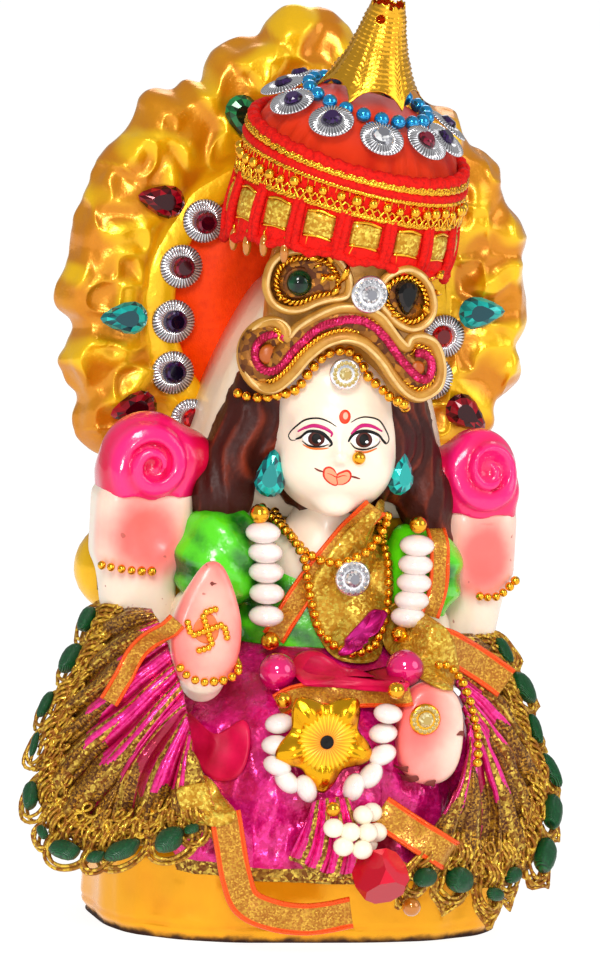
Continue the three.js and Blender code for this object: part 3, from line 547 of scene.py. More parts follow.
def build_darkened(tree, given):
    """Dark paint towards the foot of the piece, and small dark chips above it."""
    place = own_place(tree)
    height = wire(tree, "ShaderNodeSeparateXYZ", {0: place}).outputs["Z"]
    noise = wire(tree, "ShaderNodeTexNoise", {"Vector": place, "Scale": 300.0, "Detail": 5.0}).outputs["Fac"]
    edge = reckoned(tree, "ADD", height, reckoned(tree, "MULTIPLY", noise, given["Height"]))
    low = ramped(tree, reckoned(tree, "DIVIDE", edge, given["Height"]), 1.3, 0.55)
    spots = wire(tree, "ShaderNodeTexNoise", {"Vector": place, "Scale": 420.0, "Detail": 2.0}).outputs["Fac"]
    chips = ramped(tree, spots, given["Chips"], 0.9)
    mask = reckoned(tree, "MAXIMUM", low, chips)
    return {"Color": mixed(tree, mask, given["Paint"], given["Worn"]), "Mask": mask}


def build_threads(tree, given):
    """Fine parallel threads, and the glint of one thread here and there."""
    inputs = {"Vector": own_place(tree), "Scale": given["Scale"], "Distortion": given["Wander"]}
    wave = wire(tree, "ShaderNodeTexWave", inputs, wave_type="BANDS", bands_direction="DIAGONAL")
    inputs = {"Vector": own_place(tree), "Scale": reckoned(tree, "MULTIPLY", given["Scale"], 1.7)}
    glint = wire(tree, "ShaderNodeTexVoronoi", inputs).outputs["Color"]
    glint = wire(tree, "ShaderNodeSeparateColor", {0: glint}).outputs[0]
    shine = reckoned(tree, "POWER", glint, 4.0)
    share = reckoned(tree, "MULTIPLY", wave.outputs["Fac"], 0.75)
    share = reckoned(tree, "ADD", share, reckoned(tree, "MULTIPLY", shine, 0.4))
    return {"Color": mixed(tree, share, given["Deep"], given["Light"]), "Height": wave.outputs["Fac"]}


def build_glitter(tree, given):
    """Small flat flakes that each face their own way."""
    inputs = {"Vector": own_place(tree), "Scale": given["Scale"]}
    cells = wire(tree, "ShaderNodeTexVoronoi", inputs, feature="F1")
    parts = wire(tree, "ShaderNodeSeparateColor", {0: cells.outputs["Color"]})
    lit = reckoned(tree, "POWER", parts.outputs[0], 2.0)
    colour = mixed(tree, lit, given["Deep"], given["Light"])
    return {"Color": colour, "Height": parts.outputs[1], "Roughness": ramped(tree, lit, 0, 1, 0.5, 0.15)}


GROUPS = {}
EFFECTS = {
    "mottle_and_shade": ("Idol mottle and painted shade", build_mottle_and_shade, ("Color", "Height"), {
        "Deep": (0.5, 0.2, 0.0, 1.0), "Light": (1.0, 0.6, 0.0, 1.0), "Scale": 120.0, "Clouding": 0.5,
        "Relief": 1.0, "Level": 0.0,
    }),
    "darkened": ("Idol darkened foot", build_darkened, ("Color", "Mask"), {
        "Paint": (1.0, 0.6, 0.0, 1.0), "Worn": (0.05, 0.03, 0.02, 1.0), "Height": 0.003, "Chips": 0.78,
    }),
    "threads": ("Idol wound thread", build_threads, ("Color", "Height"), {
        "Deep": (0.2, 0.1, 0.0, 1.0), "Light": (0.9, 0.6, 0.2, 1.0), "Scale": 900.0, "Wander": 0.6,
    }),
    "glitter": ("Idol glitter", build_glitter, ("Color", "Height", "Roughness"), {
        "Deep": (0.3, 0.15, 0.0, 1.0), "Light": (1.0, 0.8, 0.3, 1.0), "Scale": 1500.0,
    }),
}


def shader_group(key):
    """The node group of an effect that several finishes have, built once."""
    if key not in GROUPS:
        name, build, outputs, inputs = EFFECTS[key]
        tree = GROUPS[key] = bpy.data.node_groups.new(name, "ShaderNodeTree")
        for label, default in inputs.items():
            kind = "NodeSocketFloat" if isinstance(default, float) else "NodeSocketColor"
            tree.interface.new_socket(label, in_out="INPUT", socket_type=kind).default_value = default
        for label in outputs:
            kind = "NodeSocketColor" if label == "Color" else "NodeSocketFloat"
            tree.interface.new_socket(label, in_out="OUTPUT", socket_type=kind)
        start = tree.nodes.new("NodeGroupInput")
        end = tree.nodes.new("NodeGroupOutput")
        for label, socket in build(tree, start.outputs).items():
            tree.links.new(socket, end.inputs[label])
    return GROUPS[key]


class Finish:
    """A material with its Principled shader, and short ways to feed it."""

    def __init__(self, name, **values):
        self.material = bpy.data.materials.new(name)
        self.material.use_nodes = True
        self.tree = self.material.node_tree
        self.shader = self.tree.nodes["Principled BSDF"]
        self.set(**values)

    def set(self, **values):
        for key, value in values.items():
            feed(self.tree, self.shader.inputs[key.replace("_", " ")], value)
        return self

    def group(self, key, **inputs):
        return wire(self.tree, "ShaderNodeGroup", inputs, node_tree=shader_group(key)).outputs

    def tone(self, name="tone"):
        inputs = {"attribute_name": name, "attribute_type": "GEOMETRY"}
        return wire(self.tree, "ShaderNodeAttribute", **inputs).outputs["Fac"]

    def noise(self, scale, detail=3.0):
        inputs = {"Vector": own_place(self.tree), "Scale": scale, "Detail": detail}
        return wire(self.tree, "ShaderNodeTexNoise", inputs).outputs["Fac"]

    def raised(self, height, depth):
        """Relief of that depth in millimetres, which shows in the light alone."""
        inputs = {"Height": height, "Distance": depth * MM, "Strength": 1.0}
        return self.set(Normal=wire(self.tree, "ShaderNodeBump", inputs).outputs[0])


def mottled(name, deep, light, scale, clouding, relief, level, bump, **values):
    finish = Finish(name, **values)
    parts = finish.group(
        "mottle_and_shade", Deep=deep, Light=light, Scale=scale, Clouding=clouding, Relief=relief, Level=level
    )
    finish.set(Base_Color=parts["Color"])
    return finish.raised(finish.noise(scale * 4), bump) if bump else finish


def glittered(name, deep, light, scale, bump, metallic):
    finish = Finish(name, Metallic=metallic)
    parts = finish.group("glitter", Deep=deep, Light=light, Scale=scale)
    return finish.set(Base_Color=parts["Color"], Roughness=parts["Roughness"]).raised(parts["Height"], bump)


# Sizes and colours that a user would change


def colour_setting(name, description, code):
    return bpy.props.FloatVectorProperty(
        name=name, description=description, default=tint(code), subtype="COLOR", size=3, min=0, max=1
    )


def length_setting(name, description, value):
    return bpy.props.FloatProperty(
        name=name, description=description, default=value, min=value * 0.5, max=value * 2, unit="NONE"
    )


class IdolColours(bpy.types.PropertyGroup):
    # The yellow paint and the deep paint below are one paint: on the folds of the arch the deep colour is
    # painted shade in the hollows, and the yellow a painted highlight on the ridges.
    paint: colour_setting("Yellow paint", "Pearl paint on the ridges of the throne", "FFC60E")
    recess: colour_setting("Deep paint", "The same paint where it lies in a hollow", "D27C06")
    halo: colour_setting("Halo", "Flat paint in the middle of the arch", "FF4600")
    skin: colour_setting("Skin", "Face, arms and palms", "FDE8D2")
    blush: colour_setting("Blush", "Rubbed colour in the palms", "FA6E68")
    hair: colour_setting("Hair", "The lit side of the hair", "8A3016")
    hood: colour_setting("Hood", "Pale hood behind the hair", "F0DCC2")
    blouse: colour_setting("Blouse", "The lit side of the sleeves", "58E010")
    lotus: colour_setting("Lotus", "The two lotus buds", "FF1E78")
    satin: colour_setting("Cap satin", "Stuffed top of the cap", "FF4018")
    velvet: colour_setting("Red trim", "Velvet and fringe round the cap", "F01408")
    gold: colour_setting("Gold", "Metal beads and foil", "F5B432")
    lace: colour_setting("Gold lace", "Metallic thread of the lace and braids", "FFD448")
    foil: colour_setting("Magenta foil", "Cloth of the skirt", "FF2CA0")
    cord: colour_setting("Satin cord", "Flat cord round the crown", "D8A242")
    gauze: colour_setting("Gauze", "Ribbons of gold net", "F2BC40")
    thread: colour_setting("Green thread", "Barrels wound with thread in the lace", "046A32")
    pearl: colour_setting("Pink pearls", "The two large pearls", "F00C74")
    milk: colour_setting("White beads", "Glass beads of the garland", "FFF6F0")
    blue: colour_setting("Blue beads", "Metallic beads on top of the cap", "1597D6")


class IdolSizes(bpy.types.PropertyGroup):
    base_width: length_setting("Base width", "Width of the plinth, in millimetres", 90.0)
    base_depth: length_setting("Base depth", "Depth of the plinth, in millimetres", 58.0)
    base_height: length_setting("Base height", "Height of the plinth, in millimetres", 23.0)
    fold_depth: length_setting("Arch relief", "How far the folds of the arch stand out, in millimetres", 2.6)
    seed_bead: length_setting("Gold bead", "Radius of the small gold beads, in millimetres", 1.05)
    blue_bead: length_setting("Blue bead", "Radius of the beads on the cap, in millimetres", 1.6)
    pink_pearl: length_setting("Pink pearl", "Radius of the two large pearls, in millimetres", 4.0)
    disc: length_setting("Silver disc", "Radius of the fluted discs, in millimetres", 4.7)


# What each thing is finished with


def gold_metal(name, colour, roughness):
    finish = Finish(name, Base_Color=colour, Metallic=1.0, Roughness=roughness)
    return finish.raised(finish.noise(900), 0.06)


def gem(name, deep, light, **values):
    """Foil-backed glass: each of its facets is painted another depth of colour, a painted reflection drawn
    from the way that facet faces.
    """
    usual = {"Roughness": 0.08, "Metallic": 0.25, "Coat_Weight": 0.4, "Specular_IOR_Level": 0.4}
    finish = Finish(name, Coat_Roughness=0.03, **{**usual, **values})
    share = ramped(finish.tree, finish.tone("facet"), 0.0, 1.0)
    return finish.set(Base_Color=mixed(finish.tree, share, deep, light))


# A colour in these tables is the name of a setting or a code for tint()
MOTTLED = (
    # finish, material, deep, light, scale, clouding, relief, level, bump, and the shader's own values
    ("paint", "pearl_paint", "recess", "paint", 90.0, 0.5, 1.4, 0.22, 0.2,
     {"Metallic": 0.45, "Roughness": 0.27, "Coat_Weight": 0.12, "Coat_Roughness": 0.12}),
    ("halo", "halo_paint", "E63400", "halo", 700.0, 1.2, 0.0, 0.62, 0.1,
     {"Roughness": 0.45, "Specular_IOR_Level": 0.12}),
    ("hair", "hair_paint", "3C1008", "hair", 160.0, 0.6, 1.0, -0.1, 0.2,
     {"Roughness": 0.45, "Specular_IOR_Level": 0.25}),
    (
        "hood", "hood_paint", "C79E78", "hood", 140.0, 0.5, 1.0, 0.3, 0.15,
        {"Roughness": 0.35, "Coat_Weight": 0.2}
    ),
    ("blouse", "blouse_paint", "045A10", "blouse", 150.0, 1.3, 1.0, 0.1, 0.2,
     {"Roughness": 0.25, "Coat_Weight": 0.6}),
    ("lotus", "lotus_paint", "D80038", "lotus", 120.0, 0.4, 1.0, 0.05, 0.1,
     {"Roughness": 0.2, "Coat_Weight": 0.3, "Coat_Roughness": 0.08}),
    ("satin", "cap_satin", "E01C10", "satin", 60.0, 0.7, 1.0, 0.35, 0.0,
     {"Roughness": 0.4, "Specular_IOR_Level": 0.3}),
    ("velvet", "cap_velvet", "A80804", "velvet", 1500.0, 1.6, 0.2, 0.6, 0.1,
     {"Roughness": 0.75, "Specular_IOR_Level": 0.2}),
    ("disc_heart", "flower_disc", "F07A00", "FFD21E", 300.0, 0.3, 1.0, 0.0, 0.0,
     {"Roughness": 0.4, "Metallic": 0.2}),
    (
        "cord", "satin_cord", "A0600E", "cord", 260.0, 1.0, 0.0, 0.5, 0.08,
        {"Roughness": 0.4, "Metallic": 0.25}
    ),
    # Pale cords along the fronts of the satin cords, which are painted highlights.
    ("cord_highlight", "cord_highlight", "C88A34", "FFE09A", 500.0, 0.8, 0.0, 0.5, 0.05,
     {"Roughness": 0.35, "Metallic": 0.2}),
    ("milk", "milk_glass", "EEDAD4", "milk", 200.0, 0.5, 0.4, 0.5, 0.0,
     {"Roughness": 0.12, "Coat_Weight": 0.8, "Subsurface_Weight": 0.1, "Subsurface_Scale": 0.002}),
    ("heart_satin", "heart_satin", "A80024", "F21058", 120.0, 1.2, 0.4, 0.3, 0.0,
     {"Roughness": 0.4, "Specular_IOR_Level": 0.3}),
    ("cabochon", "cabochon", "000402", "04522C", 420.0, 1.6, 0.0, 0.35, 0.0, {"Roughness": 0.08}),
)
GLITTERED = (
    # finish, material, deep, light, scale, bump, metallic
    ("lace", "lace_thread", "965406", "lace", 1500.0, 0.15, 0.45),
    ("lace_net", "lace_net", "4E2404", "D89A28", 2400.0, 0.3, 0.5),
    ("brown_net", "brown_net", "54240A", "D29A2E", 2600.0, 0.25, 0.45),
    ("foil_cord", "magenta_cord", "A00430", "FF2E7E", 1300.0, 0.2, 0.5),
    ("glitter", "gold_glitter", "7A3E08", "FFDA58", 1700.0, 0.4, 0.6),
    ("brocade", "gold_brocade", "C08410", "FFE45C", 1900.0, 0.45, 0.55),
    ("bright_foil", "bright_foil", "B00868", "FF4CC0", 500.0, 0.4, 0.8),
    ("brown_filling", "brown_filling", "5A2A08", "C07A20", 900.0, 0.2, 0.5),
)
PLAIN = (
    # finish, material, colour, and the shader's own values
    ("blue", "blue_beads", "blue", {"Metallic": 0.75, "Roughness": 0.14, "Coat_Weight": 0.6}),
    ("amber", "amber_glass", "C87818", {"Metallic": 0.4, "Roughness": 0.1, "Coat_Weight": 1.0}),
    ("cream", "cream_beads", "FBEFD8", {"Roughness": 0.35, "Coat_Weight": 0.3}),
    ("dab", "orange_dab", "EE7A3C", {"Roughness": 0.4, "Coat_Weight": 0.3}),
    ("knob", "brown_knob", "B4560E", {"Roughness": 0.35}),
    ("worn", "worn_spot", "7A2A20", {"Roughness": 0.6}),
)
INKS = (
    ("ink", "050202", 0.6), ("eye_white", "FFFFFF", 0.25), ("lid", "C4146E", 0.35), ("lips", "F4A078", 0.3),
    ("lip_line", "7A1C14", 0.45), ("lip_edge", "DC2A10", 0.4), ("bindi", "EE3A14", 0.4),
    ("iris", "4A1408", 0.5),
    ("bindi_light", "F8B49A", 0.4), ("under_line", "E8701C", 0.35), ("glint", "FFFFFF", 0.1),
)
DULL_GEM = {"Specular_IOR_Level": 0.3, "Coat_Weight": 0.2, "Metallic": 0.1}
GEMS = (
    ("teal_gem", "003C48", "12C8BE", {}), ("green_gem", "021C10", "1E8A48", {}),
    ("red_gem", "2A0006", "A80C20", DULL_GEM), ("clear_gem", "8A8A92", "FFFFFF", {"Metallic": 0.55}),
    ("pink_gem", "B80020", "FF2846", DULL_GEM), ("violet_gem", "0A0418", "3A1A5A", {}),
    ("maroon_gem", "3A0210", "8E0A30", {}), ("ruby_gem", "6A0008", "E8101C", {}),
    ("black_gem", "020202", "2A201C", DULL_GEM), ("citrine_gem", "B89A50", "FFF6C0", {}),
)


def build_plinth_paint():
    """The throne's paint where it is brushed on thickly: dark towards the foot, with painted shade in its
    groove and painted highlight on its lumps from the tone.
    """
    paint = Finish("plinth_paint", Metallic=0.5, Coat_Weight=0.08, Coat_Roughness=0.15)
    clouds_and_shade = paint.group(
        "mottle_and_shade", Deep=tint("EC8600"), Light=tint("FFB000"), Scale=45.0, Clouding=1.3, Relief=0.6, Level=0.45
    )
    worn = paint.group("darkened", Paint=clouds_and_shade["Color"], Worn=tint("3A1C0C"), Height=0.0024, Chips=0.74)
    paint.set(Base_Color=worn["Color"], Roughness=ramped(paint.tree, worn["Mask"], 0, 1, 0.26, 0.8))
    return paint.raised(paint.noise(120), 0.3)


def build_skin(name, colour, spotted):
    """Skin with its blush, which is spotted and chipped in the palms alone."""
    skin = Finish(name, Roughness=0.32, Coat_Weight=0.35, Coat_Roughness=0.2)
    skin.set(Subsurface_Weight=0.12, Subsurface_Scale=0.002)
    cloud = reckoned(skin.tree, "MULTIPLY", skin.noise(110), 0.5 * spotted)
    level = reckoned(skin.tree, "ADD", skin.tone(), reckoned(skin.tree, "SUBTRACT", cloud, 0.25 * spotted))
    blushed = mixed(skin.tree, ramped(skin.tree, level, 0.1, 1.0), colour.skin, colour.blush)
    chips = ramped(skin.tree, skin.noise(330, 2.0), 0.72, 0.76)
    chips = reckoned(skin.tree, "MULTIPLY", chips, 0.75 * spotted)
    return skin.set(Base_Color=mixed(skin.tree, chips, blushed, tint("B0564A"))).raised(skin.noise(260), 0.12)


def build_foil(colour):
    """Magenta cloth with a foil face: bright flakes, and crimson where the tone is high, which is painted
    shade in the hollows of the folds.
    """
    foil = Finish("magenta_foil", Metallic=0.45, Coat_Weight=0.4, Coat_Roughness=0.15)
    parts = foil.group("glitter", Deep=tint("E00478"), Light=colour.foil, Scale=1500.0)
    clouds_and_shade = foil.group(
        "mottle_and_shade", Deep=tint("A0002C"), Light=parts["Color"], Scale=110.0, Clouding=1.5, Relief=-1.0,
        Level=1.15
    )
    foil.set(Base_Color=clouds_and_shade["Color"], Roughness=ramped(foil.tree, foil.noise(160), 0.3, 0.7, 0.16, 0.36))
    return foil.raised(foil.noise(420, 2.0), 0.5)


def build_gauze(colour):
    """Gold net with an orange wire along each edge."""
    gauze = Finish("gold_gauze", Metallic=0.35)
    net = gauze.group("glitter", Deep=tint("B06A10"), Light=colour.gauze, Scale=3000.0)
    edge = ramped(gauze.tree, gauze.tone(), 0.6, 0.9)
    gauze.set(Base_Color=mixed(gauze.tree, edge, net["Color"], tint("FF5A10")), Roughness=net["Roughness"])
    return gauze.raised(net["Height"], 0.25)


def build_finishes(colour):
    def shade(key):
        return getattr(colour, key) if key in IdolColours.__annotations__ else tint(key)

    made = {
        "plinth": build_plinth_paint(),
        "skin": build_skin("skin_paint", colour, 0.0),
        "palm": build_skin("palm_paint", colour, 1.0),
        "foil": build_foil(colour),
        "gauze": build_gauze(colour),
        "gold": gold_metal("gold_beads", colour.gold, 0.2),
        "gold_foil": gold_metal("gold_foil", colour.gold, 0.25),
        "star": gold_metal("star_foil", tint("F2B01C"), 0.22),
    }
    for finish, name, deep, light, scale, clouding, relief, level, bump, values in MOTTLED:
        place = (scale, clouding, relief, level, bump)
        made[finish] = mottled(name, shade(deep), shade(light), *place, **values)
    for finish, name, deep, light, *values in GLITTERED:
        made[finish] = glittered(name, shade(deep), shade(light), *values)
    for finish, name, code, values in PLAIN:
        made[finish] = Finish(name, Base_Color=shade(code), **values)
    for finish, code, roughness in INKS:
        made[finish] = Finish(
            "face_" + finish, Base_Color=tint(code), Roughness=roughness, Specular_IOR_Level=0.3
        )
    made["glint"].set(Emission_Color=(1, 1, 1), Emission_Strength=0.6)
    for finish, deep, light, values in GEMS:
        made[finish] = gem(finish, tint(deep), tint(light), **values)

    satin = made["satin"]
    inputs = {"Vector": own_place(satin.tree), "Scale": 2600.0, "Distortion": 1.0}
    satin.raised(wire(satin.tree, "ShaderNodeTexWave", inputs, bands_direction="Z").outputs["Fac"], 0.08)
    silver = made["silver"] = Finish("silver_discs", Metallic=0.9, Roughness=0.2)
    # Painted reflection: the silver turns grey where the tone is high, in the valleys between the flutes.
    silver.set(Base_Color=mixed(silver.tree, silver.tone(), tint("F4F4F8"), tint("5A5458")))
    pearl = made["pearl"] = Finish(
        "pink_pearl", Roughness=0.1, Coat_Weight=1.0, Coat_Roughness=0.04, Metallic=0.25
    )
    # Painted shade: the pearl darkens towards its outline as it turns from the viewer.
    rim = wire(pearl.tree, "ShaderNodeLayerWeight", {"Blend": 0.35}).outputs["Facing"]
    pearl.set(Base_Color=mixed(pearl.tree, rim, colour.pearl, tint("7A0238")))
    barrel = made["barrel"] = Finish("green_thread", Roughness=0.3)
    parts = barrel.group("threads", Deep=tint("012A16"), Light=colour.thread, Scale=1800.0, Wander=0.4)
    barrel.set(Base_Color=parts["Color"]).raised(parts["Height"], 0.12)
    return {name: finish.material for name, finish in made.items()}


LOOKS = {}


def look(name):
    """The material of a finish. The first call makes them all."""
    if not LOOKS:
        LOOKS.update(build_finishes(bpy.context.scene.idol_colours))
    return LOOKS[name]


# The casting: plinth, throne, arch and figure, as painted pieces

PLINTH_SQUARENESS = 2.8
HALO = {"x": 0.0, "z": 130.0, "front": 17.0, "back": 27.0, "inner": 35.0, "band": 27.5}
RIM = (
    (46.3, 103), (46.1, 107.4), (48.9, 110.8), (51.6, 113.5), (51.1, 117.9), (50.2, 121.5), (52, 126),
    (52.1, 130), (51.2, 134), (50.5, 138), (51.1, 143), (50.2, 147.6), (46, 152.2), (45, 155.6), (44, 160),
    (40.7, 163), (37.3, 164.6), (35, 169.6), (33.5, 172), (28.5, 173.1), (25, 175), (20.5, 178.5),
    (15.5, 182.5), (10.9, 186.4), (8, 189.6), (5, 192.3), (1, 193.1), (-3, 193.1), (-6.5, 192.4), (-8.9, 190),
    (-10.7, 186.6), (-15.2, 185.9), (-19.6, 184), (-21.8, 181), (-23, 177), (-26.3, 176.6), (-29, 174.3),
    (-33.4, 174.6), (-36.2, 172.6), (-37, 168.6), (-39.4, 165), (-42.8, 161.6), (-45.8, 157), (-46.7, 152.9),
    (-49.5, 146), (-50.3, 141), (-50.6, 136.4), (-52.5, 132), (-52.2, 128), (-49.3, 124.8), (-48.8, 121.6),
    (-51.1, 116.6), (-50.2, 113.4), (-47.2, 108), (-47.4, 103.4), (-46.3, 99.6), (-42, 96), (-30, 89),
    (-10, 84), (10, 84), (30, 89), (42, 97),
)
THRONE = {"width": 74.0, "bottom": 8.0, "top": 96.0}
LAP = {"x": 0.5, "y": -4.0}
LAP_PROFILE = ((61, 17, 12), (56, 24, 21), (46, 33, 31.5), (32, 37.5, 33.5), (15, 37, 33))
HEAD = {"at": (1.0, -12.5, 103.6), "lean": 1, "yaw": -14}
CROWN = {"at": (1.0, -9.5, 124.0), "lean": 5}


def turn_of(lean=0, yaw=0, pitch=0):
    """The axes of a piece that nods about X, then turns about Z, then leans about Y, in degrees."""
    y, z, x = (math.radians(v) for v in (lean, yaw, pitch))
    about_y = np.array([[math.cos(y), 0, math.sin(y)], [0, 1, 0], [-math.sin(y), 0, math.cos(y)]])
    about_z = np.array([[math.cos(z), -math.sin(z), 0], [math.sin(z), math.cos(z), 0], [0, 0, 1]])
    about_x = np.array([[1, 0, 0], [0, math.cos(x), -math.sin(x)], [0, math.sin(x), math.cos(x)]])
    return (about_y @ about_z @ about_x).T


def seated(form, place):
    """form, drawn about its own origin, where the head or crown is."""
    return form.moved(place["at"], *turn_of(place["lean"], place.get("yaw", 0)))


def make_plinth(sizes):
    rows, columns = 38, 220
    half_width, half_depth, top_z = sizes.base_width / 2, sizes.base_depth / 2, sizes.base_height
    z = np.concatenate([[0, 0], np.linspace(0.3, top_z - 0.9, rows)])
    share = 0.965 + 0.035 * blend_step(z, 0, 3) - 0.055 * blend_step(z, top_z * 0.7, top_z)
    share[0] = 0.5
    top = np.linspace(0, 1, 7)[1:]
    z = np.concatenate([z, top_z - 0.9 * (1 - top) ** 2])
    share = np.concatenate([share, share[-1] * (1 - 0.42 * top**1.6)])
    turn = full_turn(columns)
    power = 2 / PLINTH_SQUARENESS
    ring_x = np.sign(np.cos(turn)) * np.abs(np.cos(turn)) ** power
    ring_y = np.sign(np.sin(turn)) * np.abs(np.sin(turn)) ** power
    wave = 0.012 * np.sin(turn * 9 + 0.6) + 0.008 * np.sin(turn * 17 + 2)
    wave = wave[None] * (0.3 + 0.7 * np.sin(np.clip(z / top_z, 0, 1) * math.pi))[:, None]
    points = np.empty((len(z), columns, 3))
    points[..., 0] = half_width * share[:, None] * ring_x * (1 + np.minimum(wave, 0.004))
    points[..., 1] = half_depth * share[:, None] * ring_y * (1 + np.minimum(wave, 0.004) * 1.6)
    points[..., 2] = z[:, None]
    lumps = unevenness(points, 9, 3) * 0.35 + unevenness(points, 3.5, 4) * 0.16
    groove = np.exp(-(((points[..., 2] - 3.2 - 0.6 * unevenness(points, 14, 9)) / 0.5) ** 2)) * 0.45
    inward = -points * [1, 1, 0] / np.maximum(np.linalg.norm(points[..., :2], axis=-1, keepdims=True), 1)
    body = points[:, :, 2] > 0.05
    points = points + inward * ((0.35 - lumps * 0.8 + groove) * body)[..., None]
    # Painted shade and highlight: the tone is low in the groove and high on the raised lumps.
    tone = 0.55 + 0.7 * lumps - groove * 0.6
    return capped(points, tone)


def rim_radius(turn):
    """How far the arch reaches in a direction, with soft corners."""
    rim = smooth_path(np.array(RIM, float), 720, closed=True) - [HALO["x"], HALO["z"]]
    angle = np.arctan2(rim[:, 1], rim[:, 0])
    order = np.argsort(angle)
    reach = np.hypot(rim[:, 0], rim[:, 1])[order]
    return np.interp(turn, angle[order], reach, period=TAU)


def cloud_relief(points, turn, rim):
    """Soft rounded lumps, longer outward than across, with creases where the cloud is gathered."""
    rng = np.random.default_rng(19)
    lumps = []
    for ring, reach in enumerate(np.arange(35, 66, 6.4)):
        count = int(TAU * reach / 9.4)
        angle = (np.arange(count) + 0.5 * (ring % 2) + rng.uniform(-0.36, 0.36, count)) * TAU / count
        lumps.append(
            np.stack([angle, reach + rng.uniform(-2.4, 2.4, count), rng.uniform(0.75, 1.25, count)], axis=-1)
        )
    lumps = np.vstack(lumps)
    lumps = lumps[lumps[:, 1] < np.interp(lumps[:, 0], turn[0], rim, period=TAU) - 1.5]
    places = np.stack([lumps[:, 1] * np.cos(lumps[:, 0]), lumps[:, 1] * np.sin(lumps[:, 0])], axis=-1)
    outward = unit(places)
    warp = np.stack([unevenness(points, 8, 11), unevenness(points, 8, 12)], axis=-1) * 2.6
    flat = points[..., [0, 2]] - [HALO["x"], HALO["z"]] + warp
    field = np.zeros(flat.shape[:2])
    for place, out, size in zip(places, outward, lumps[:, 2]):
        gap = flat - place
        far = ((gap @ out) / 1.3) ** 2 + (gap @ [out[1], -out[0]]) ** 2
        field += size * np.exp(-far / 10.5)
    folds = 1 - np.abs(unevenness(points, 6.2, 15))
    return 0.62 * np.clip(field, 0, 1.25) + 0.34 * folds**3 + 0.16 * unevenness(points, 5, 16) - 0.06


def make_arch(sizes):
    spokes, rings = 600, 78
    turn = full_turn(spokes)
    rim = rim_radius(turn)
    inner = HALO["inner"] - 2.5
    share = np.linspace(0, 1, rings) ** 0.9
    radius = inner + (rim[None] - inner) * share[:, None]
    points = about_halo(radius, turn)
    relief = cloud_relief(points, turn[None], rim)
    rise = blend_step(share, 0.03, 0.2)[:, None]
    edge = share[:, None]
    swell = 1.4 * np.sin(edge * math.pi) * rise
    roll = 5.2 * np.clip((edge - 0.8) / 0.2, 0, 1) ** 2.4
    points[..., 1] = HALO["front"] - 0.4 - rise * (sizes.fold_depth * (relief - 0.25)) - swell + roll
    # The tone follows the relief: painted shade in the hollows of the folds, painted highlight on the lumps.
    tone = (relief - 0.3) * 1.25 * rise + (1 - rise) * 0.75
    tone = np.clip(tone, 0, 1.1)
    wobble = 1 + 0.012 * unevenness(points, 4, 17) * edge
    points[..., 0] = HALO["x"] + (points[..., 0] - HALO["x"]) * wobble
    points[..., 2] = HALO["z"] + (points[..., 2] - HALO["z"]) * wobble
    outer = points[-1]
    away = (outer - [HALO["x"], 0, HALO["z"]]) * [1, 0, 1]
    back = []
    for pull, share_back in ((0.3, 0.35), (0.9, 0.62), (1.9, 0.85), (3.4, 0.98), (6.0, 1.0)):
        ring = outer - unit(away) * pull
        ring[:, 1] = outer[:, 1] + (HALO["back"] - outer[:, 1]) * share_back
        back.append(ring)
    hollow = away * 0.3 + [HALO["x"], HALO["back"] - 0.6, HALO["z"]]
    rows = np.concatenate([points, np.array(back), hollow[None]])
    tones = np.concatenate([tone, np.full((len(back), spokes), 0.45), np.full((1, spokes), 0.4)])
    form = grid_form(rows[::-1], wrap_columns=True, tone=tones[::-1])
    middle = np.array([[HALO["x"], HALO["back"] - 0.6, HALO["z"]]])
    here = np.arange(spokes)
    cap = np.stack([np.full(spokes, len(form.points)), np.roll(here, -1), here, np.full(spokes, -1)], axis=-1)
    return Form(np.vstack([form.points, middle]), np.vstack([form.faces, cap]), np.append(form.tone, 0.4))


def about_halo(radius, turn):
    """Points at y = 0, round the middle of the halo."""
    x, z = HALO["x"] + radius * np.cos(turn), HALO["z"] + radius * np.sin(turn)
    return np.stack([x, 0 * x, z], axis=-1)


def halo_rings(stations, spokes, wave, seed):
    """Rings round the middle of the halo from (radius, y) stations, a little uneven."""
    radius, depth = np.array(stations, float).T[:, :, None]
    points = about_halo(radius, full_turn(spokes))
    points[..., 1] = depth + wave * unevenness(points, 8, seed)
    return points


def make_halo_field():
    """The flat middle of the arch."""
    y = HALO["front"] + 1.2
    band = HALO["band"]
    stations = [(band + 0.5, y + 3), (band + 0.5, y), (band * 0.6, y), (band * 0.2, y)]
    return capped(halo_rings(stations, 160, 0.12, 61), 0.6)


def make_arch_band():
    """The smooth raised band between the flat middle and the folds."""
    y, band, inner = HALO["front"], HALO["band"], HALO["inner"]
    stations = [
        (band, y + 3), (band, y + 0.6), (band + 0.5, y - 0.3), (band + 1.5, y - 0.7), (band + 4, y - 0.6),
        (inner - 1.2, y - 0.3), (inner + 0.4, y + 0.3), (inner + 0.6, y + 3),
    ]
    points = halo_rings(stations, 240, 0.35, 62)
    return grid_form(points, wrap_rows=True, wrap_columns=True, tone=0.55 + 0.4 * unevenness(points, 9, 63))


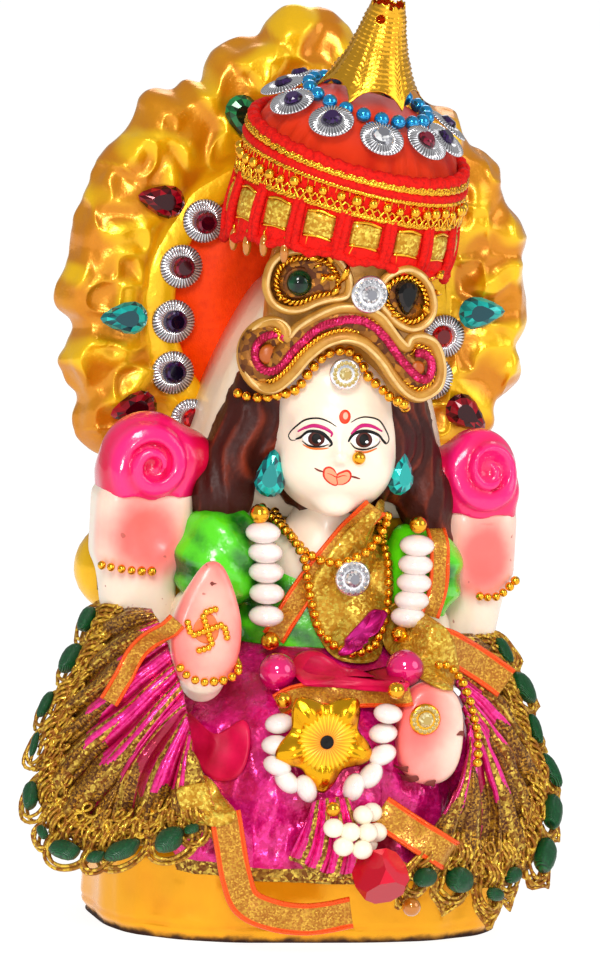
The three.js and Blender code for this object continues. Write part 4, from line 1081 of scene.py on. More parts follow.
def make_throne_back():
    y = (HALO["front"] + HALO["back"]) / 2
    half = np.array([THRONE["width"] / 2, 5.0, (THRONE["top"] - THRONE["bottom"]) / 2])
    middle = np.array([0, y, (THRONE["top"] + THRONE["bottom"]) / 2])

    def distance(p):
        left = near_ellipsoid(p, (-37.5, y - 3.5, 72.2), (9, 8.2, 9.4))
        right = near_ellipsoid(p, (37, y - 3, 71), (8.2, 8.2, 9.4))
        low_left, low_right = (near_ellipsoid(p, (x, y - 3, 56), (7.6, 7.6, 9)) for x in (-36, 36))
        bolsters = melt(melt(left, low_left, 1.2), melt(right, low_right, 1.2), 0.5)
        whole = melt(near_box(p, middle, half - 2.4, 2.4), bolsters, 1.5)
        return whole + 0.3 * unevenness(p, 6, 21) + 0.15 * unevenness(p, 2.6, 22)

    form = skin_of(distance, (-48, 12, 6), (48, 29, 99), 1.5)
    return form.toned(0.55 + 0.5 * unevenness(form.points, 6, 21))


def make_lap():
    z, width, depth = np.array(LAP_PROFILE, float)[::-1].T
    height = np.linspace(z[0], z[-1], 24)[:, None]
    width, depth = np.interp(height, z, width), np.interp(height, z, depth)
    points = ringed(width, depth, full_turn(96), height) + [LAP["x"], LAP["y"], 0]
    points[..., 1] = np.minimum(points[..., 1], HALO["back"] - 2.5)
    return capped(points, 0.5)


def make_blouse():
    def distance(p):
        chest = near_ellipsoid(p, (1, -5, 62), (18, 12.5, 24.5))
        left = near_ellipsoid(p, (-22.5, -10, 79), (10, 9.5, 11.5))
        right = near_ellipsoid(p, (22, -9, 76), (9, 9, 11.5))
        both = melt(melt(left, chest, 3), right, 3)
        folds = 0.5 * np.sin((p[..., 0] * 0.5 + p[..., 2] * 0.9) * 0.9 + 1.6 * unevenness(p, 8, 31))
        return both - folds * blend_step(np.abs(p[..., 0]), 12, 18)

    form = skin_of(distance, (-36, -22, 40), (34, 10, 94), 1.0)
    p = form.points
    lit = 0.5 + 0.6 * unevenness(p, 6.5, 32) + 0.25 * np.sin((p[:, 0] * 0.5 + p[:, 2] * 0.9) * 0.9)
    side = 0.35 * blend_step(p[:, 1], -8, -1)
    return form.toned(np.clip(lit - side, 0, 1))


def make_neck():
    def distance(p):
        neck = near_bone(p, (0.5, -6, 76), (2, -9, 97), 8.6, 6.2)
        shoulders = near_ellipsoid(p, (1, -6.5, 78), (13, 9.6, 9.5))
        return melt(neck, shoulders, 4)

    return skin_of(distance, (-15, -19, 68), (17, 6, 100), 0.7)


def make_arm(side):
    """A raised arm: forearm, squared palm facing forward, and the web that joins it to the throne."""
    if side < 0:
        palm, half, wrist, elbow = (-38.6, -5, 85.5), (10.4, 6.6, 9.5), (-38.8, -4.5, 74), (-37.0, -3, 57)
        thick = (8.4, 7.2)
    else:
        palm, half, wrist, elbow = (35.4, -5, 82), (7.9, 6.4, 9.5), (35.6, -4.5, 71), (34, -3, 56)
        thick = (6.4, 6.0)

    def distance(p):
        hand = near_box(p, palm, np.array(half) - 4.2, 4.2)
        forearm = near_bone(p, elbow, wrist, thick[1], thick[0], 0.95)
        web = near_box(p, [palm[0] - side * 4.5, 8.5, 76.0], [1.6, 11.0, 18], 1.5)
        dent = near_ellipsoid(p, (palm[0], palm[1] - 8.6, palm[2] - 2), (5.2, 3.0, 6))
        body = carve(melt(hand, forearm, 3.5), dent, 1.5)
        return melt(body, web, 2)

    x = sorted((palm[0] - half[0] - 4, palm[0] + half[0] + 4))
    form = skin_of(distance, (x[0], -15, 50), (x[1], 21, 98), 0.9)
    p = form.points - palm
    spot = np.exp(-((p[:, 0] / (half[0] * 0.78)) ** 2 + ((p[:, 2] + 2) / 8.5) ** 2))
    front_side = blend_step(-form.points[:, 1], 4, 9)
    return form.toned(np.clip((0.3 + 0.9 * spot) * front_side * blend_step(p[:, 2], -16, -9), 0, 1))


def make_lotus(side):
    """A bud whose petals wind round one another."""
    if side < 0:
        main, radii = (-38.0, -5.2, 99.0), (10.2, 8.6, 10.2)
        lobe, lobe_radii = (-28.6, -5, 99.6), (5.0, 6.4, 5.4)
        heart, pitch = (-38.4, 98.6), 4.4
    else:
        main, radii = (34.6, -5.2, 97), (8.4, 8.2, 9.6)
        lobe, lobe_radii = (25.6, -4, 96), (5.6, 6.0, 5.4)
        heart, pitch = (35.4, 98.2), 4.2
    foot = main[2] - 5.5 if side < 0 else main[2] - 7

    def petals(p):
        u, w = p[..., 0] - heart[0], p[..., 2] - heart[1]
        turn = np.arctan2(w, u)
        reach = np.hypot(u, w * 0.92)
        phase = (reach / pitch + side * turn / TAU + 0.35) % 1.0
        lip = phase**0.8 * (1 - blend_step(phase, 0.8, 1.0))
        inside = blend_step(reach, 0.4, 2.2) * (1 - blend_step(reach, 7.5, 10.5))
        return lip * inside * blend_step(-p[..., 1], 5, 9)

    def distance(p):
        bud = near_ellipsoid(p, main, radii)
        bud = melt(bud, near_ellipsoid(p, lobe, lobe_radii), 4)
        skirt = near_box(p, [main[0] + side * 0.4, -5, foot - 1], [radii[0] - 4.4, 2.6, 3.0], 3.9)
        bud = melt(bud, skirt, 3)
        crown_dent = near_ellipsoid(p, (heart[0], -12, heart[1] + 0.5), (4.6, 2.2, 4.6))
        bud = carve(bud, crown_dent, 1.6)
        bud = np.maximum(bud, (foot - 1.5 + 0.5 * np.sin(p[..., 0] * 0.7)) - p[..., 2])
        return bud - 1.25 * petals(p)

    form = skin_of(distance, (main[0] - 15, -18, 86), (main[0] + 17, 6, 113), 0.6)
    lit = 0.45 + 0.75 * petals(form.points) + 0.1 * unevenness(form.points, 5, 41)
    edge = blend_step(np.abs(form.points[:, 0] - heart[0]), 6, 12) * 0.5
    return form.toned(np.clip(lit - edge, 0, 1))


def make_blessing_hand():
    """The palm held up, its fingers closed to one point."""

    def distance(p):
        q = p - [-30.4, -31, 66]
        high = blend_step(q[..., 2], 1, 16)
        x = (q[..., 0] - 0.9 * high) / (7.3 - 2.2 * high)
        up = np.where(q[..., 2] > 0, q[..., 2] / 15.6, q[..., 2] / 11.0)
        rim = np.abs(x) ** 2.2 + np.where(q[..., 2] > 0, up, -up).clip(0) ** 2.1
        leaf = np.maximum(rim, 1e-9) ** (1 / 2.15)
        flat = (leaf - 1) * 6.4
        palm = near_plate(flat, np.abs(q[..., 1]) - (3.3 - 1.3 * high), 1.6)
        wrist = near_bone(p, (-30.6, -30.8, 58), (-30.0, -28.5, 55.5), 4.6, 4.0, 0.85)
        arm = near_bone(p, (-29.6, -26.5, 57.5), (-25, -9, 66), 4.4, 7.4)
        return melt(melt(palm, wrist, 2.2), arm, 2.5)

    form = skin_of(distance, (-41, -37, 44), (-16, 0, 84), 0.65)
    p = form.points
    edge = np.abs((p[:, 0] + 30.4) / 7.4) ** 2 + np.abs((p[:, 2] - 68) / 14) ** 2
    level = (0.5 + 0.4 * edge) * blend_step(-p[:, 1], 29, 32) * blend_step(p[:, 2], 53, 60)
    return form.toned(np.clip(level, 0, 0.95))


def make_giving_hand():
    """The palm held down."""

    def distance(p):
        q = p - [16.8, -39.0, 46.9]
        leaf = (np.abs(q[..., 0] / 7.0) ** 2.5 + np.abs(q[..., 2] / 10.6) ** 2.5) ** 0.4
        flat = (leaf - 1) * 7
        palm = near_plate(flat, np.abs(q[..., 1] - 0.02 * q[..., 2]) - 3.3, 2.2)
        arm = near_bone(p, (17.4, -36, 52), (22, -9, 64), 4.6, 7.0)
        chip = near_ellipsoid(p, (13.2, -43.6, 37.5), (2.6, 1.4, 1.5))
        return carve(melt(palm, arm, 2.2), chip, 0.5)

    form = skin_of(distance, (8, -45, 33), (31, 0, 73), 0.65)
    p = form.points
    left = blend_step(-p[:, 0], -24, -11)
    high = blend_step(p[:, 2], 36, 50)
    level = (0.42 + 0.6 * left * (0.5 + 0.5 * high)) * blend_step(-p[:, 1], 36, 39)
    return form.toned(np.clip(level, 0, 1))


def near_face(p):
    """Distance from the face, in the head's own frame."""
    skull = near_ellipsoid(p, (-0.3, 0, 2.4), (13.3, 13.2, 15.5))
    jaw = near_ellipsoid(p, (-0.3, -2.6, -4.4), (10.6, 9.8, 8.6))
    face = melt(skull, jaw, 6)
    face = melt(face, near_ellipsoid(p, (-1.5, -3.5, 11.5), (11.5, 8.6, 9.5)), 3)
    for side in (-1, 1):
        cheek = near_ellipsoid(p, (side * 5.6, -7.8, -4.0), (5.0, 4.2, 4.6))
        face = melt(face, cheek, 3.5)
        socket = near_ellipsoid(p, (side * 4.9, -15.0, 2.8), (3.6, 1.7, 1.9))
        face = carve(face, socket, 1.6)
        lid = near_ellipsoid(p, (side * 4.9, -10.9, 2.7), (3.4, 2.6, 1.7))
        face = melt(face, lid, 0.9)
    brow = near_ellipsoid(p, (0, -9.6, 5.6), (8.5, 3.2, 3.2))
    chin = near_ellipsoid(p, (0, -8.6, -11.7), (3.4, 3.2, 2.3))
    face = melt(melt(face, brow, 3), chin, 2.4)
    nose = near_bone(p, (0.2, -12.2, 3.6), (0.5, -13.9, -0.6), 0.8, 1.3)
    nose = melt(nose, near_ellipsoid(p, (0.5, -13.9, -1.0), (1.6, 1.3, 1.2)), 0.8)
    for side in (-1, 1):
        nose = melt(nose, near_ellipsoid(p, (0.5 + side * 1.4, -12.9, -1.4), (0.9, 1.0, 0.8)), 0.7)
    face = melt(face, nose, 1.4)
    upper = near_ellipsoid(p, (0.2, -12.1, -4.2), (3.2, 1.2, 1.0))
    lower = near_ellipsoid(p, (0.2, -11.9, -5.9), (2.5, 1.2, 1.0))
    return melt(melt(face, upper, 0.8), lower, 0.8)


def make_face():
    return skin_of(near_face, (-17, -18, -17), (17, 16, 23), 0.5)


def wavy(p, side):
    """Ridges of combed hair that wave on their way down."""
    across = p[..., 0] + 0.6 * p[..., 1] * side + 1.5 * np.sin(p[..., 2] * 0.34 + 0.9 * side)
    across = across + 2.4 * unevenness(p, 8, 51)
    ridge = 1 - np.abs(np.sin(across * 0.72 + 0.5 * unevenness(p, 4, 52)))
    fine = 1 - np.abs(np.sin(across * 2.6 + p[..., 2] * 0.25))
    return 0.75 * ridge + 0.25 * fine


def make_hair():
    turn = turn_of(HEAD["lean"], HEAD["yaw"])

    def distance(p):
        local = (p - np.array(HEAD["at"])) @ turn.T
        cap = near_ellipsoid(local, (0, 5.0, 2.5), (17.4, 14.2, 19))
        left = near_bone(p, (-14.8, -8, 114), (-22.5, -7, 93), 6.2, 6.6)
        left_low = near_ellipsoid(p, (-22.5, -8, 91.5), (6.2, 6, 6.5))
        right = near_bone(p, (16.5, -8, 112), (22, -8, 92), 5.2, 5.8)
        right_low = near_bone(p, (22, -8.5, 92), (24.5, -9, 83), 5.2, 4.2)
        hair = melt(melt(cap, melt(left, left_low, 3), 4), melt(right, right_low, 3), 4)
        window_up = near_ellipsoid(local, (0.4, -16, -1.5), (13.6, 14.5, 13.4))
        window_low = near_ellipsoid(local, (0.2, -15, -10), (12.0, 14.0, 10.5))
        hair = carve(hair, melt(window_up, window_low, 4), 1.0)
        side = np.where(p[..., 0] < 2, -1.0, 1.0)
        return hair - 0.85 * (wavy(p, side) - 0.4)

    form = skin_of(distance, (-32, -22, 76), (32, 14, 127), 0.72)
    side = np.where(form.points[:, 0] < 2, -1.0, 1.0)
    lit = 0.8 * wavy(form.points, side) + 0.5 * unevenness(form.points, 7, 53)
    return form.toned(np.clip(lit - 0.05, 0, 1))


HOOD = (
    (-27.5, 86), (-25.5, 98), (-21.6, 111), (-15, 126), (-8, 136), (4, 140), (17, 134), (27.5, 106), (30, 86)
)


def make_hood():
    """The pale crescent behind the hair, rounded at its front edge."""
    line = smooth_path(HOOD, 90)
    middle = np.array([1.0, 96.0])
    sections = [(-3.0, 0.66), (-2.4, 0.84), (-1.0, 0.94), (1.0, 0.99), (4.0, 1.0), (10, 1.0), (19, 1.0)]
    rings = [at_depth(middle + (line - middle) * share, y) for y, share in sections]
    return capped(np.array(rings), 0.7)


def make_crown_core():
    """The swell under the corded ornament, cut away over the brow."""
    stations = (
        (0.0, 0.84), (0.12, 0.9), (0.3, 0.93), (0.5, 0.95), (0.62, 0.9), (0.72, 0.8), (0.9, 0.55), (1.0, 0.2)
    )
    level, share = np.array(stations).T[:, :, None]
    turn, window = full_turn(96), math.pi / 106
    from_brow = (np.degrees(turn) - 263 + 180) % 360 * window - 180 * window
    foot = -8 + 11.5 * np.clip(np.cos(from_brow), 0, 1)
    points = ringed(17.6 * share, 18.5 * share, turn, foot + (39 - foot) * level)
    return seated(capped(points, 0.6), CROWN)


# The painted features, in [x, z] places of the head's own frame

LIP_LEFT = ((0.1, -4.6), (-0.7, -3.4), (-1.7, -3.0), (-2.6, -3.6), (-2.5, -5.1), (-1.2, -6.3), (0.2, -6.6))
LIP_RIGHT = ((0.2, -6.6), (1.7, -6.3), (2.7, -5.4), (2.9, -4.2), (2.2, -3.5), (1.2, -3.8), (0.1, -4.6))
FACE_STROKES = (
    ("lip_edge", 0.24, LIP_LEFT + LIP_LEFT[:1]),
    ("lip_edge", 0.24, LIP_RIGHT + LIP_RIGHT[:1]),
    ("lip_edge", 0.2, ((-2.4, -4.2), (-1.2, -4.4), (0.1, -4.9), (1.4, -4.5), (2.8, -4.7))),
    (
        "ink", 0.2,
        (
            (-8.9, 1.8), (-9.9, 1.7), (-10.3, 2.7), (-9.1, 4.6), (-7.2, 6.4), (-4.6, 7.0), (-2.4, 6.5),
            (-0.7, 5.6)
        )
    ),
    (
        "ink", 0.2,
        ((2.2, 6.6), (3.7, 7.5), (5.6, 7.8), (8.1, 7.1), (9.8, 4.8), (10.6, 2.9), (10.0, 2.0), (9.0, 2.9))
    ),
    (
        "ink", 0.42,
        ((-8.9, 2.0), (-7.9, 2.7), (-6.4, 4.0), (-4.0, 4.1), (-2.4, 3.1), (-1.4, 1.9), (-2.0, 1.3))
    ),
    ("ink", 0.42, ((2.0, 2.5), (2.2, 3.1), (3.2, 4.4), (5.5, 4.9), (7.9, 4.2), (9.2, 2.9), (10.0, 2.2))),
    ("ink", 0.2, ((-7.6, 2.0), (-6.0, 1.1), (-3.6, 1.15), (-2.1, 1.7))),
    ("ink", 0.2, ((2.4, 2.4), (3.6, 1.3), (5.6, 1.1), (7.8, 1.9), (8.7, 2.8))),
    ("lid", 0.42, ((-8.6, 3.7), (-7.2, 4.7), (-5.3, 5.4), (-3.2, 5.1), (-1.6, 4.2), (-1.7, 3.4))),
    ("lid", 0.42, ((2.4, 4.2), (3.6, 5.5), (4.9, 6.1), (6.8, 5.9), (9.0, 4.8))),
    ("under_line", 0.22, ((-7.4, 1.2), (-5.6, 0.6), (-3.4, 0.7), (-2.0, 1.0))),
    ("under_line", 0.22, ((3.4, 0.7), (5.8, 0.5), (8.1, 1.3))),
    ("lip_line", 0.2, ((-4.7, -3.4), (-3.8, -3.8), (-2.6, -4.1))),
    ("lip_line", 0.2, ((2.8, -4.6), (3.9, -4.8), (5.0, -5.1))),
)
FACE_PATCHES = (
    (
        "eye_white", 0.05,
        ((-7.6, 2.6), (-6.2, 1.4), (-3.8, 1.3), (-2.0, 2.1), (-2.8, 3.4), (-4.2, 4.0), (-6.2, 3.9))
    ),
    (
        "eye_white", 0.05,
        ((2.4, 3.0), (3.6, 1.7), (5.6, 1.4), (7.6, 2.1), (8.6, 3.1), (7.6, 4.1), (5.5, 4.8), (3.5, 4.3))
    ),
    ("lips", 0.1, LIP_LEFT),
    ("lips", 0.1, LIP_RIGHT),
)
FACE_DOTS = (
    ("iris", 0.1, (-4.7, 2.7), (1.75, 1.5)),
    ("iris", 0.1, (5.2, 3.1), (1.75, 1.6)),
    ("ink", 0.14, (-4.7, 2.8), (1.0, 1.1)),
    ("ink", 0.14, (5.2, 3.2), (1.0, 1.2)),
    ("glint", 0.2, (-4.1, 2.4), (0.3, 0.25)),
    ("glint", 0.2, (5.8, 2.8), (0.3, 0.25)),
    ("bindi", 0.18, (0.9, 7.7), (1.2, 1.45)),
    ("bindi_light", 0.24, (1.0, 7.9), (0.55, 0.75)),
)


def paint_features():
    """Thin layers of paint on the skin of the face, and the finish of each."""
    face = make_face()
    tree = skin_tree(face)

    def on_skin(places, lift):
        spots = []
        for x, z in places:
            hit, normal = tree.ray_cast(Vector((x, -40, z)), Vector((0, 1, 0)))[:2]
            spots.append(hit + (normal if normal.y < 0 else -normal) * lift)
        return np.array(spots)

    def patch(outline, lift):
        outline = smooth_path(outline, 36, closed=True)
        middle = outline.mean(0)
        steps = ((1, -0.15), (1, lift * 0.6), (0.93, lift), (0.6, lift), (0.3, lift), (0.05, lift))
        return capped(
            np.array([on_skin(middle + (outline - middle) * share, height) for share, height in steps])
        )

    layers = []
    for paint, lift, outline in FACE_PATCHES:
        layers.append((paint, patch(outline, lift)))
    for paint, lift, (x, z), (half_width, half_height) in FACE_DOTS:
        oval = ringed(half_width, half_height, full_turn(24), 0)[:, :2] + [x, z]
        layers.append((paint, patch(oval, lift)))
    for paint, half_width, places in FACE_STROKES:
        path = smooth_path(places, 40)
        share = np.linspace(0, 1, 40)
        width = half_width * (0.35 + 0.65 * np.sin(math.pi * share) ** 0.7)
        layers.append((paint, tube(on_skin(path, 0.06), width, 8, flat=0.3)))
    return layers


# The cap: a stuffed satin top, its lace, and what is on it

CAP = {
    "at": (0.3, -7.5, 144.7), "lean": 4.8, "pitch": 14.6, "radius": 21.5, "depth_share": 0.92, "ridge": 24.9,
    "top": 34.9,
}
CAP_TURN = turn_of(CAP["lean"], 0, CAP["pitch"])


def on_cap(form, pressed=False):
    """form, drawn about the cap's own axis, in its place."""
    points = form.points * [1, CAP["depth_share"], 1]
    squeezed = Form(sunk(points) if pressed else points, form.faces, form.tone)
    return squeezed.moved(CAP["at"], *CAP_TURN)


def sunk(flat):
    """The cap is pressed lower on its right."""
    low = (flat[..., 0] + 12) * 0.1 * np.clip(flat[..., 2] / 22, 0, 1)
    return flat - np.stack([0 * low, 0 * low, low], axis=-1)


def cap_point(turn, radius, height):
    flat = ringed(radius, radius, np.radians(turn), height) * [1, CAP["depth_share"], 1]
    return sunk(flat) @ CAP_TURN + np.array(CAP["at"])


def cap_hem(turn):
    """The lower edge of the lace, which is short in front and long at the sides and back."""
    return np.maximum(7.2 * np.cos(np.radians(np.asarray(turn, float) + 105)) - 0.6, -1.2)


def lace_point(turn, out, level):
    """A place on the lace round the cap; level is 0 at the hem and 25 at the ridge."""
    share = np.interp(level, [-3, 0, 5.2, 8.3, 11.4, 13.2, 15.7, 18.4, 19.9, 22.7, 24.9, 26],
                      [-0.15, 0, 0.15, 0.27, 0.4, 0.5, 0.7, 0.79, 0.85, 0.94, 1.0, 1.05])
    hem = cap_hem(turn)
    return cap_point(turn, CAP["radius"] + 0.6 + out + 0 * hem, hem + share * (CAP["ridge"] - hem))


def make_cap_dome():
    profile = [(20.4, 0.4), (21.3, 1.5), (21.5, 14), (21.5, 22.5), (21.3, 24.8), (20.7, 26.4), (19.2, 28.6),
               (16.6, 30.8), (13.2, 32.5), (9.8, 33.8), (6.0, 34.6), (2.5, 34.9), (0.4, 34.9)]
    profile = smooth_path(profile, 60)
    turns = full_turn(180)
    radius, height = profile[:, :1], profile[:, 1:]
    gathers = np.sin(turns * 26 + 2 * np.sin(turns * 5)) * 0.35 * np.exp(-(((height - 26) / 3.5) ** 2))
    sag = 0.5 * np.sin(turns * 3 + 1) * blend_step(height, 24, 30) * blend_step(-height, -36.5, -33)
    foot = cap_hem(np.degrees(turns)) + 1.5
    height = np.where(height < 20, foot + height / 20 * (20 - foot), height)
    radius = radius + gathers + sag
    points = ringed(radius, radius, turns, height)
    points = points + 0.25 * unevenness(points, 6, 71)[..., None] * [0, 0, 1]
    # The tone rises on the outward gathers and falls between them: painted highlight and shade on the satin.
    tone = 0.55 + 0.5 * unevenness(points, 9, 72) + 0.8 * gathers
    return on_cap(capped(points, tone), pressed=True)


def shell_of(points, keep, thickness, tone=0.0):
    """A closed sheet over the kept cells of a grid whose columns go all the way round."""
    rows, columns = points.shape[:2]
    along = np.gradient(points, axis=0)
    across = np.roll(points, -1, axis=1) - np.roll(points, 1, axis=1)
    normals = unit(np.cross(across, along))
    both = np.concatenate([points + normals * thickness / 2, points - normals * thickness / 2]).reshape(-1, 3)
    index = np.arange(rows * columns).reshape(rows, columns)
    right = np.roll(index, -1, axis=1)
    corners = np.stack([index[:-1], right[:-1], right[1:], index[1:]], axis=-1)
    shift = rows * columns
    faces = [corners[keep], (corners[keep] + shift)[:, ::-1]]
    blank = np.zeros((1, columns), bool)
    neighbours = (
        (np.vstack([blank, keep[:-1]]), 0, 1), (np.roll(keep, -1, axis=1), 1, 2),
        (np.vstack([keep[1:], blank]), 2, 3), (np.roll(keep, 1, axis=1), 3, 0),
    )
    for neighbour, a, b in neighbours:
        edge = corners[keep & ~neighbour]
        faces.append(np.stack([edge[:, b], edge[:, a], edge[:, a] + shift, edge[:, b] + shift], axis=-1))
    return Form(both, np.vstack(faces), np.broadcast_to(tone, len(both)))


def make_finial():
    """Foil pressed with rows of dots, open above and cut to points below."""
    rows, columns = 80, 126
    share = np.linspace(0, 1, rows)[:, None]
    turn = full_turn(columns)[None]
    phase = (turn * 6 / TAU + 0.08) % 1 * 2 - 1
    foot = 4.4 * np.sqrt(np.clip(1 - phase**2, 0, 1)) ** 0.9
    rim = 21.6 + 0.35 * np.sin(turn * 3 + 1) - 0.4 * np.abs(np.sin(turn * 7))
    height = foot + (rim - foot) * share
    radius = np.interp(height, [0, 2.5, 5, 10, 15.5, 21.7], [12.4, 10.4, 8.6, 6.3, 4.7, 3.3])
    dots = np.clip(np.sin(turn * 21), 0, 1) * np.clip(np.sin(height * TAU / 0.98), 0, 1)
    dots = dots * blend_step(height, 2.0, 3.5) * blend_step(-height, -19.4, -18.4)
    line = 0.07 * np.clip(np.sin(height * TAU / 0.98), 0, 1)
    dent = 0.2 * unevenness(ringed(radius, radius, turn, height), 3, 73)
    radius = radius + 0.3 * dots + line + dent
    base = CAP["top"] - 1.3
    points = ringed(radius, radius, turn, base + height)
    middle = (points[:-1] + np.roll(points, -1, axis=1)[1:]) / 2
    hole = np.array([3.7 * math.cos(math.radians(240)), 3.7 * math.sin(math.radians(240)), base + 18.4])
    keep = np.linalg.norm(middle - hole, axis=-1) > 1.0
    keep &= ~((middle[..., 2] > base + 20.6) & (np.cos(turn * 5 + 2) > 0.86))
    return on_cap(shell_of(points, keep, 0.28, np.concatenate([dots, dots]).reshape(-1)))


def make_cap_lace():
    """The parts of the lace round the cap, by finish."""
    turn = np.arange(240) * 360 / 240
    beat = np.arange(240)
    rng = np.random.default_rng(8)
    scallop = 1.1 * np.abs(np.sin(np.radians(turn * 7.5))) - 2.0
    heights = np.linspace(0, 1, 20)[:, None]
    level = scallop + (25.2 - scallop) * heights
    out = 0.9 + 0.5 * (1 - heights) + 0.25 * np.sin(np.radians(turn * 15)) * (1 - heights)
    band = np.stack([lace_point(turn, out[i], level[i]) for i in range(20)])
    cloth = shell_of(band, np.ones((19, 240), bool), 0.9, 0.5)

    def ring(level, out, wave=0.0):
        return lace_point(turn, out, level + wave)

    velvet = [
        tube(ring(24.9, 0.8, 0.25 * np.sin(np.radians(turn * 31))), 1.3 + 0.18 * np.sin(beat * 1.7), 8, True),
        tube(ring(19.9, 1.5), 1.0 + 0.1 * np.sin(beat * 2.3), 8, True),
        tube(ring(0, 1.7, scallop + 0.6), 1.0 + 0.2 * np.sin(beat * 1.3), 8, True),
    ]
    gold, beads, woven, amber = [], [], [], []
    for level, out in ((23.2, 1.4), (22.2, 1.7), (18.4, 1.6), (13.4, 1.8)):
        gold.append(twisted(ring(level, out), 0.42, 3, 0.42, 0.4, 5, True))
    gold.append(tube(ring(22.7, 2.1, 0.6 * np.sin(np.radians(turn * 60))), 0.24, 5, True))
    for t in np.arange(96) * 360 / 96:
        lean = np.linspace(0, rng.uniform(-1.5, 1.5), 4)
        gold.append(tube(lace_point(t + lean, 1.5, np.linspace(15.4, 19.2, 4)), 0.2, 4))
    for t in np.arange(46) * 360 / 46 + rng.uniform(-1.2, 1.2, 46):
        size = rng.uniform(0.95, 1.25)
        beads.append(ball(size, 12).moved(lace_point(np.array([t]), 2.2, 15.4 + rng.uniform(-0.3, 0.3))[0]))
    for side in (-1, 1):
        gold.append(
            tube(ring(14.2, 2.2 + 0.15 * side, side * 0.7 * np.sin(np.radians(turn * 45))), 0.28, 5, True)
        )
    for t in np.arange(15) * 24 - 93:
        across, down = np.meshgrid(np.linspace(-1, 1, 14), np.linspace(-1, 1, 12))
        weave = 0.16 * np.sin(across * 15) * np.sin(down * 13)
        bulge = 0.8 * (1 - across**2) ** 0.5 * (1 - down**4)
        lift, height = 1.6 + bulge + weave, 8.3 - down * 3.4
        patch = np.stack([lace_point(t + across[i] * 7.4, lift[i], height[i]) for i in range(12)])
        woven.append(slab(patch, 0.5, tone=0.5 + 2 * weave))
        for level in (12.0, 4.8):
            bow = 0.25 * np.cos(np.linspace(-3, 3, 8))
            gold.append(tube(lace_point(t + np.linspace(-7.6, 7.6, 8), 2.0, level + bow), 0.34, 5))
        bulge = 0.9 * np.sin(np.linspace(0.2, 2.9, 9))
        for shift, radius in ((10.6, 0.85), (13.4, 0.85)):
            bar = lace_point(
                t + shift + rng.uniform(-1, 1) * np.linspace(0, 1, 9), 1.6 + bulge, np.linspace(13.6, -1.2, 9)
            )
            velvet.append(tube(bar, radius, 7, flat=0.8))
        for shift in (-5, -1.5, 2, 5.5):
            line = lace_point(
                t + shift + np.linspace(0, rng.uniform(-3, 3), 4), 1.5, np.linspace(5.0, -0.5, 4)
            )
            gold.append(tube(line, 0.24, 4))
    for t, low in ((-172, 1.0), (-158, 0.2), (-146, 1.2), (-133, 0.4)):
        top = lace_point(np.array([t]), 1.9, low)[0]
        amber.append(ball(0.95, 12, 2.6).moved(top - [0, 0, 2.4]))
        gold.append(tube(np.array([top + [0, 0, 0.8], top - [0, 0, 0.3]]), 0.3, 5))
    return {
        "band": cloth, "velvet": joined(velvet), "gold": joined(gold), "beads": joined(beads),
        "woven": joined(woven), "amber": joined(amber),
    }


# Pressed discs, stones and beads


def hull_of(points):
    """The convex body round some points."""
    mesh = bmesh.new()
    corners = [mesh.verts.new(point) for point in points]
    found = bmesh.ops.convex_hull(mesh, input=corners)
    loose = [
        item for item in found["geom_interior"] + found["geom_unused"] if isinstance(item, bmesh.types.BMVert)
    ]
    bmesh.ops.delete(mesh, geom=list(set(loose)), context="VERTS")
    mesh.verts.index_update()
    spots = [list(corner.co) for corner in mesh.verts]
    faces = [[corner.index for corner in face.verts] for face in mesh.faces]
    mesh.free()
    return Form(spots, [[*face, -1] if len(face) == 3 else face for face in faces])


def cut_stone(outline, table, height, base=0.0):
    """A faceted stone that faces +Z: outline, a girdle, crown facets and a flat table."""
    outline = np.asarray(outline, float)
    middle = outline.mean(0)
    rings = []
    for share, z in (
        (0.86, base), (1.0, base + height * 0.3), (0.84, base + height * 0.72), (table, base + height)
    ):
        ring = middle + (outline - middle) * share
        if share == 0.84:
            ring = (ring + np.roll(ring, 1, axis=0)) / 2
        rings.append(np.column_stack([ring, np.full(len(ring), z)]))
    return hull_of(np.vstack(rings))


def round_outline(radius, corners):
    return ringed(radius, radius, full_turn(corners), 0)[:, :2]


def drop_outline(half_width, length, corners=14):
    """A teardrop whose point is at +Y."""
    turn = full_turn(corners) + math.pi / 2
    x = half_width * np.cos(turn) * (1 - 0.42 * np.clip(np.sin(turn), 0, 1) ** 1.3)
    y = np.where(np.sin(turn) > 0, np.sin(turn) * (length - half_width), np.sin(turn) * half_width)
    y = y - (length / 2 - half_width)
    return np.stack([x, y], axis=-1)


def fluted_disc(radius):
    """A pressed disc that faces +Z, with a fluted rim round the seat of its stone."""
    flutes = 38
    turn = full_turn(flutes * 4)
    wave = np.cos(turn * flutes)
    stations = (
        (0.97, 0.0, 0.0), (1.0, 0.12, 0.6), (0.96, 0.35, 1.0), (0.8, 0.62, 1.0), (0.62, 0.8, 0.8),
        (0.5, 0.85, 0.2), (0.45, 0.55, 0.0), (0.1, 0.5, 0.0),
    )
    share, z, flute = np.array(stations).T[:, :, None]
    reach = radius * share * (1 + 0.018 * flute * wave)
    points = ringed(reach, reach, turn, np.maximum(z + 0.16 * flute * wave, 0))
    # The tone is high in the valleys between the flutes, for the painted dark reflections of the metal.
    return capped(points, flute * (0.5 - 0.5 * wave))


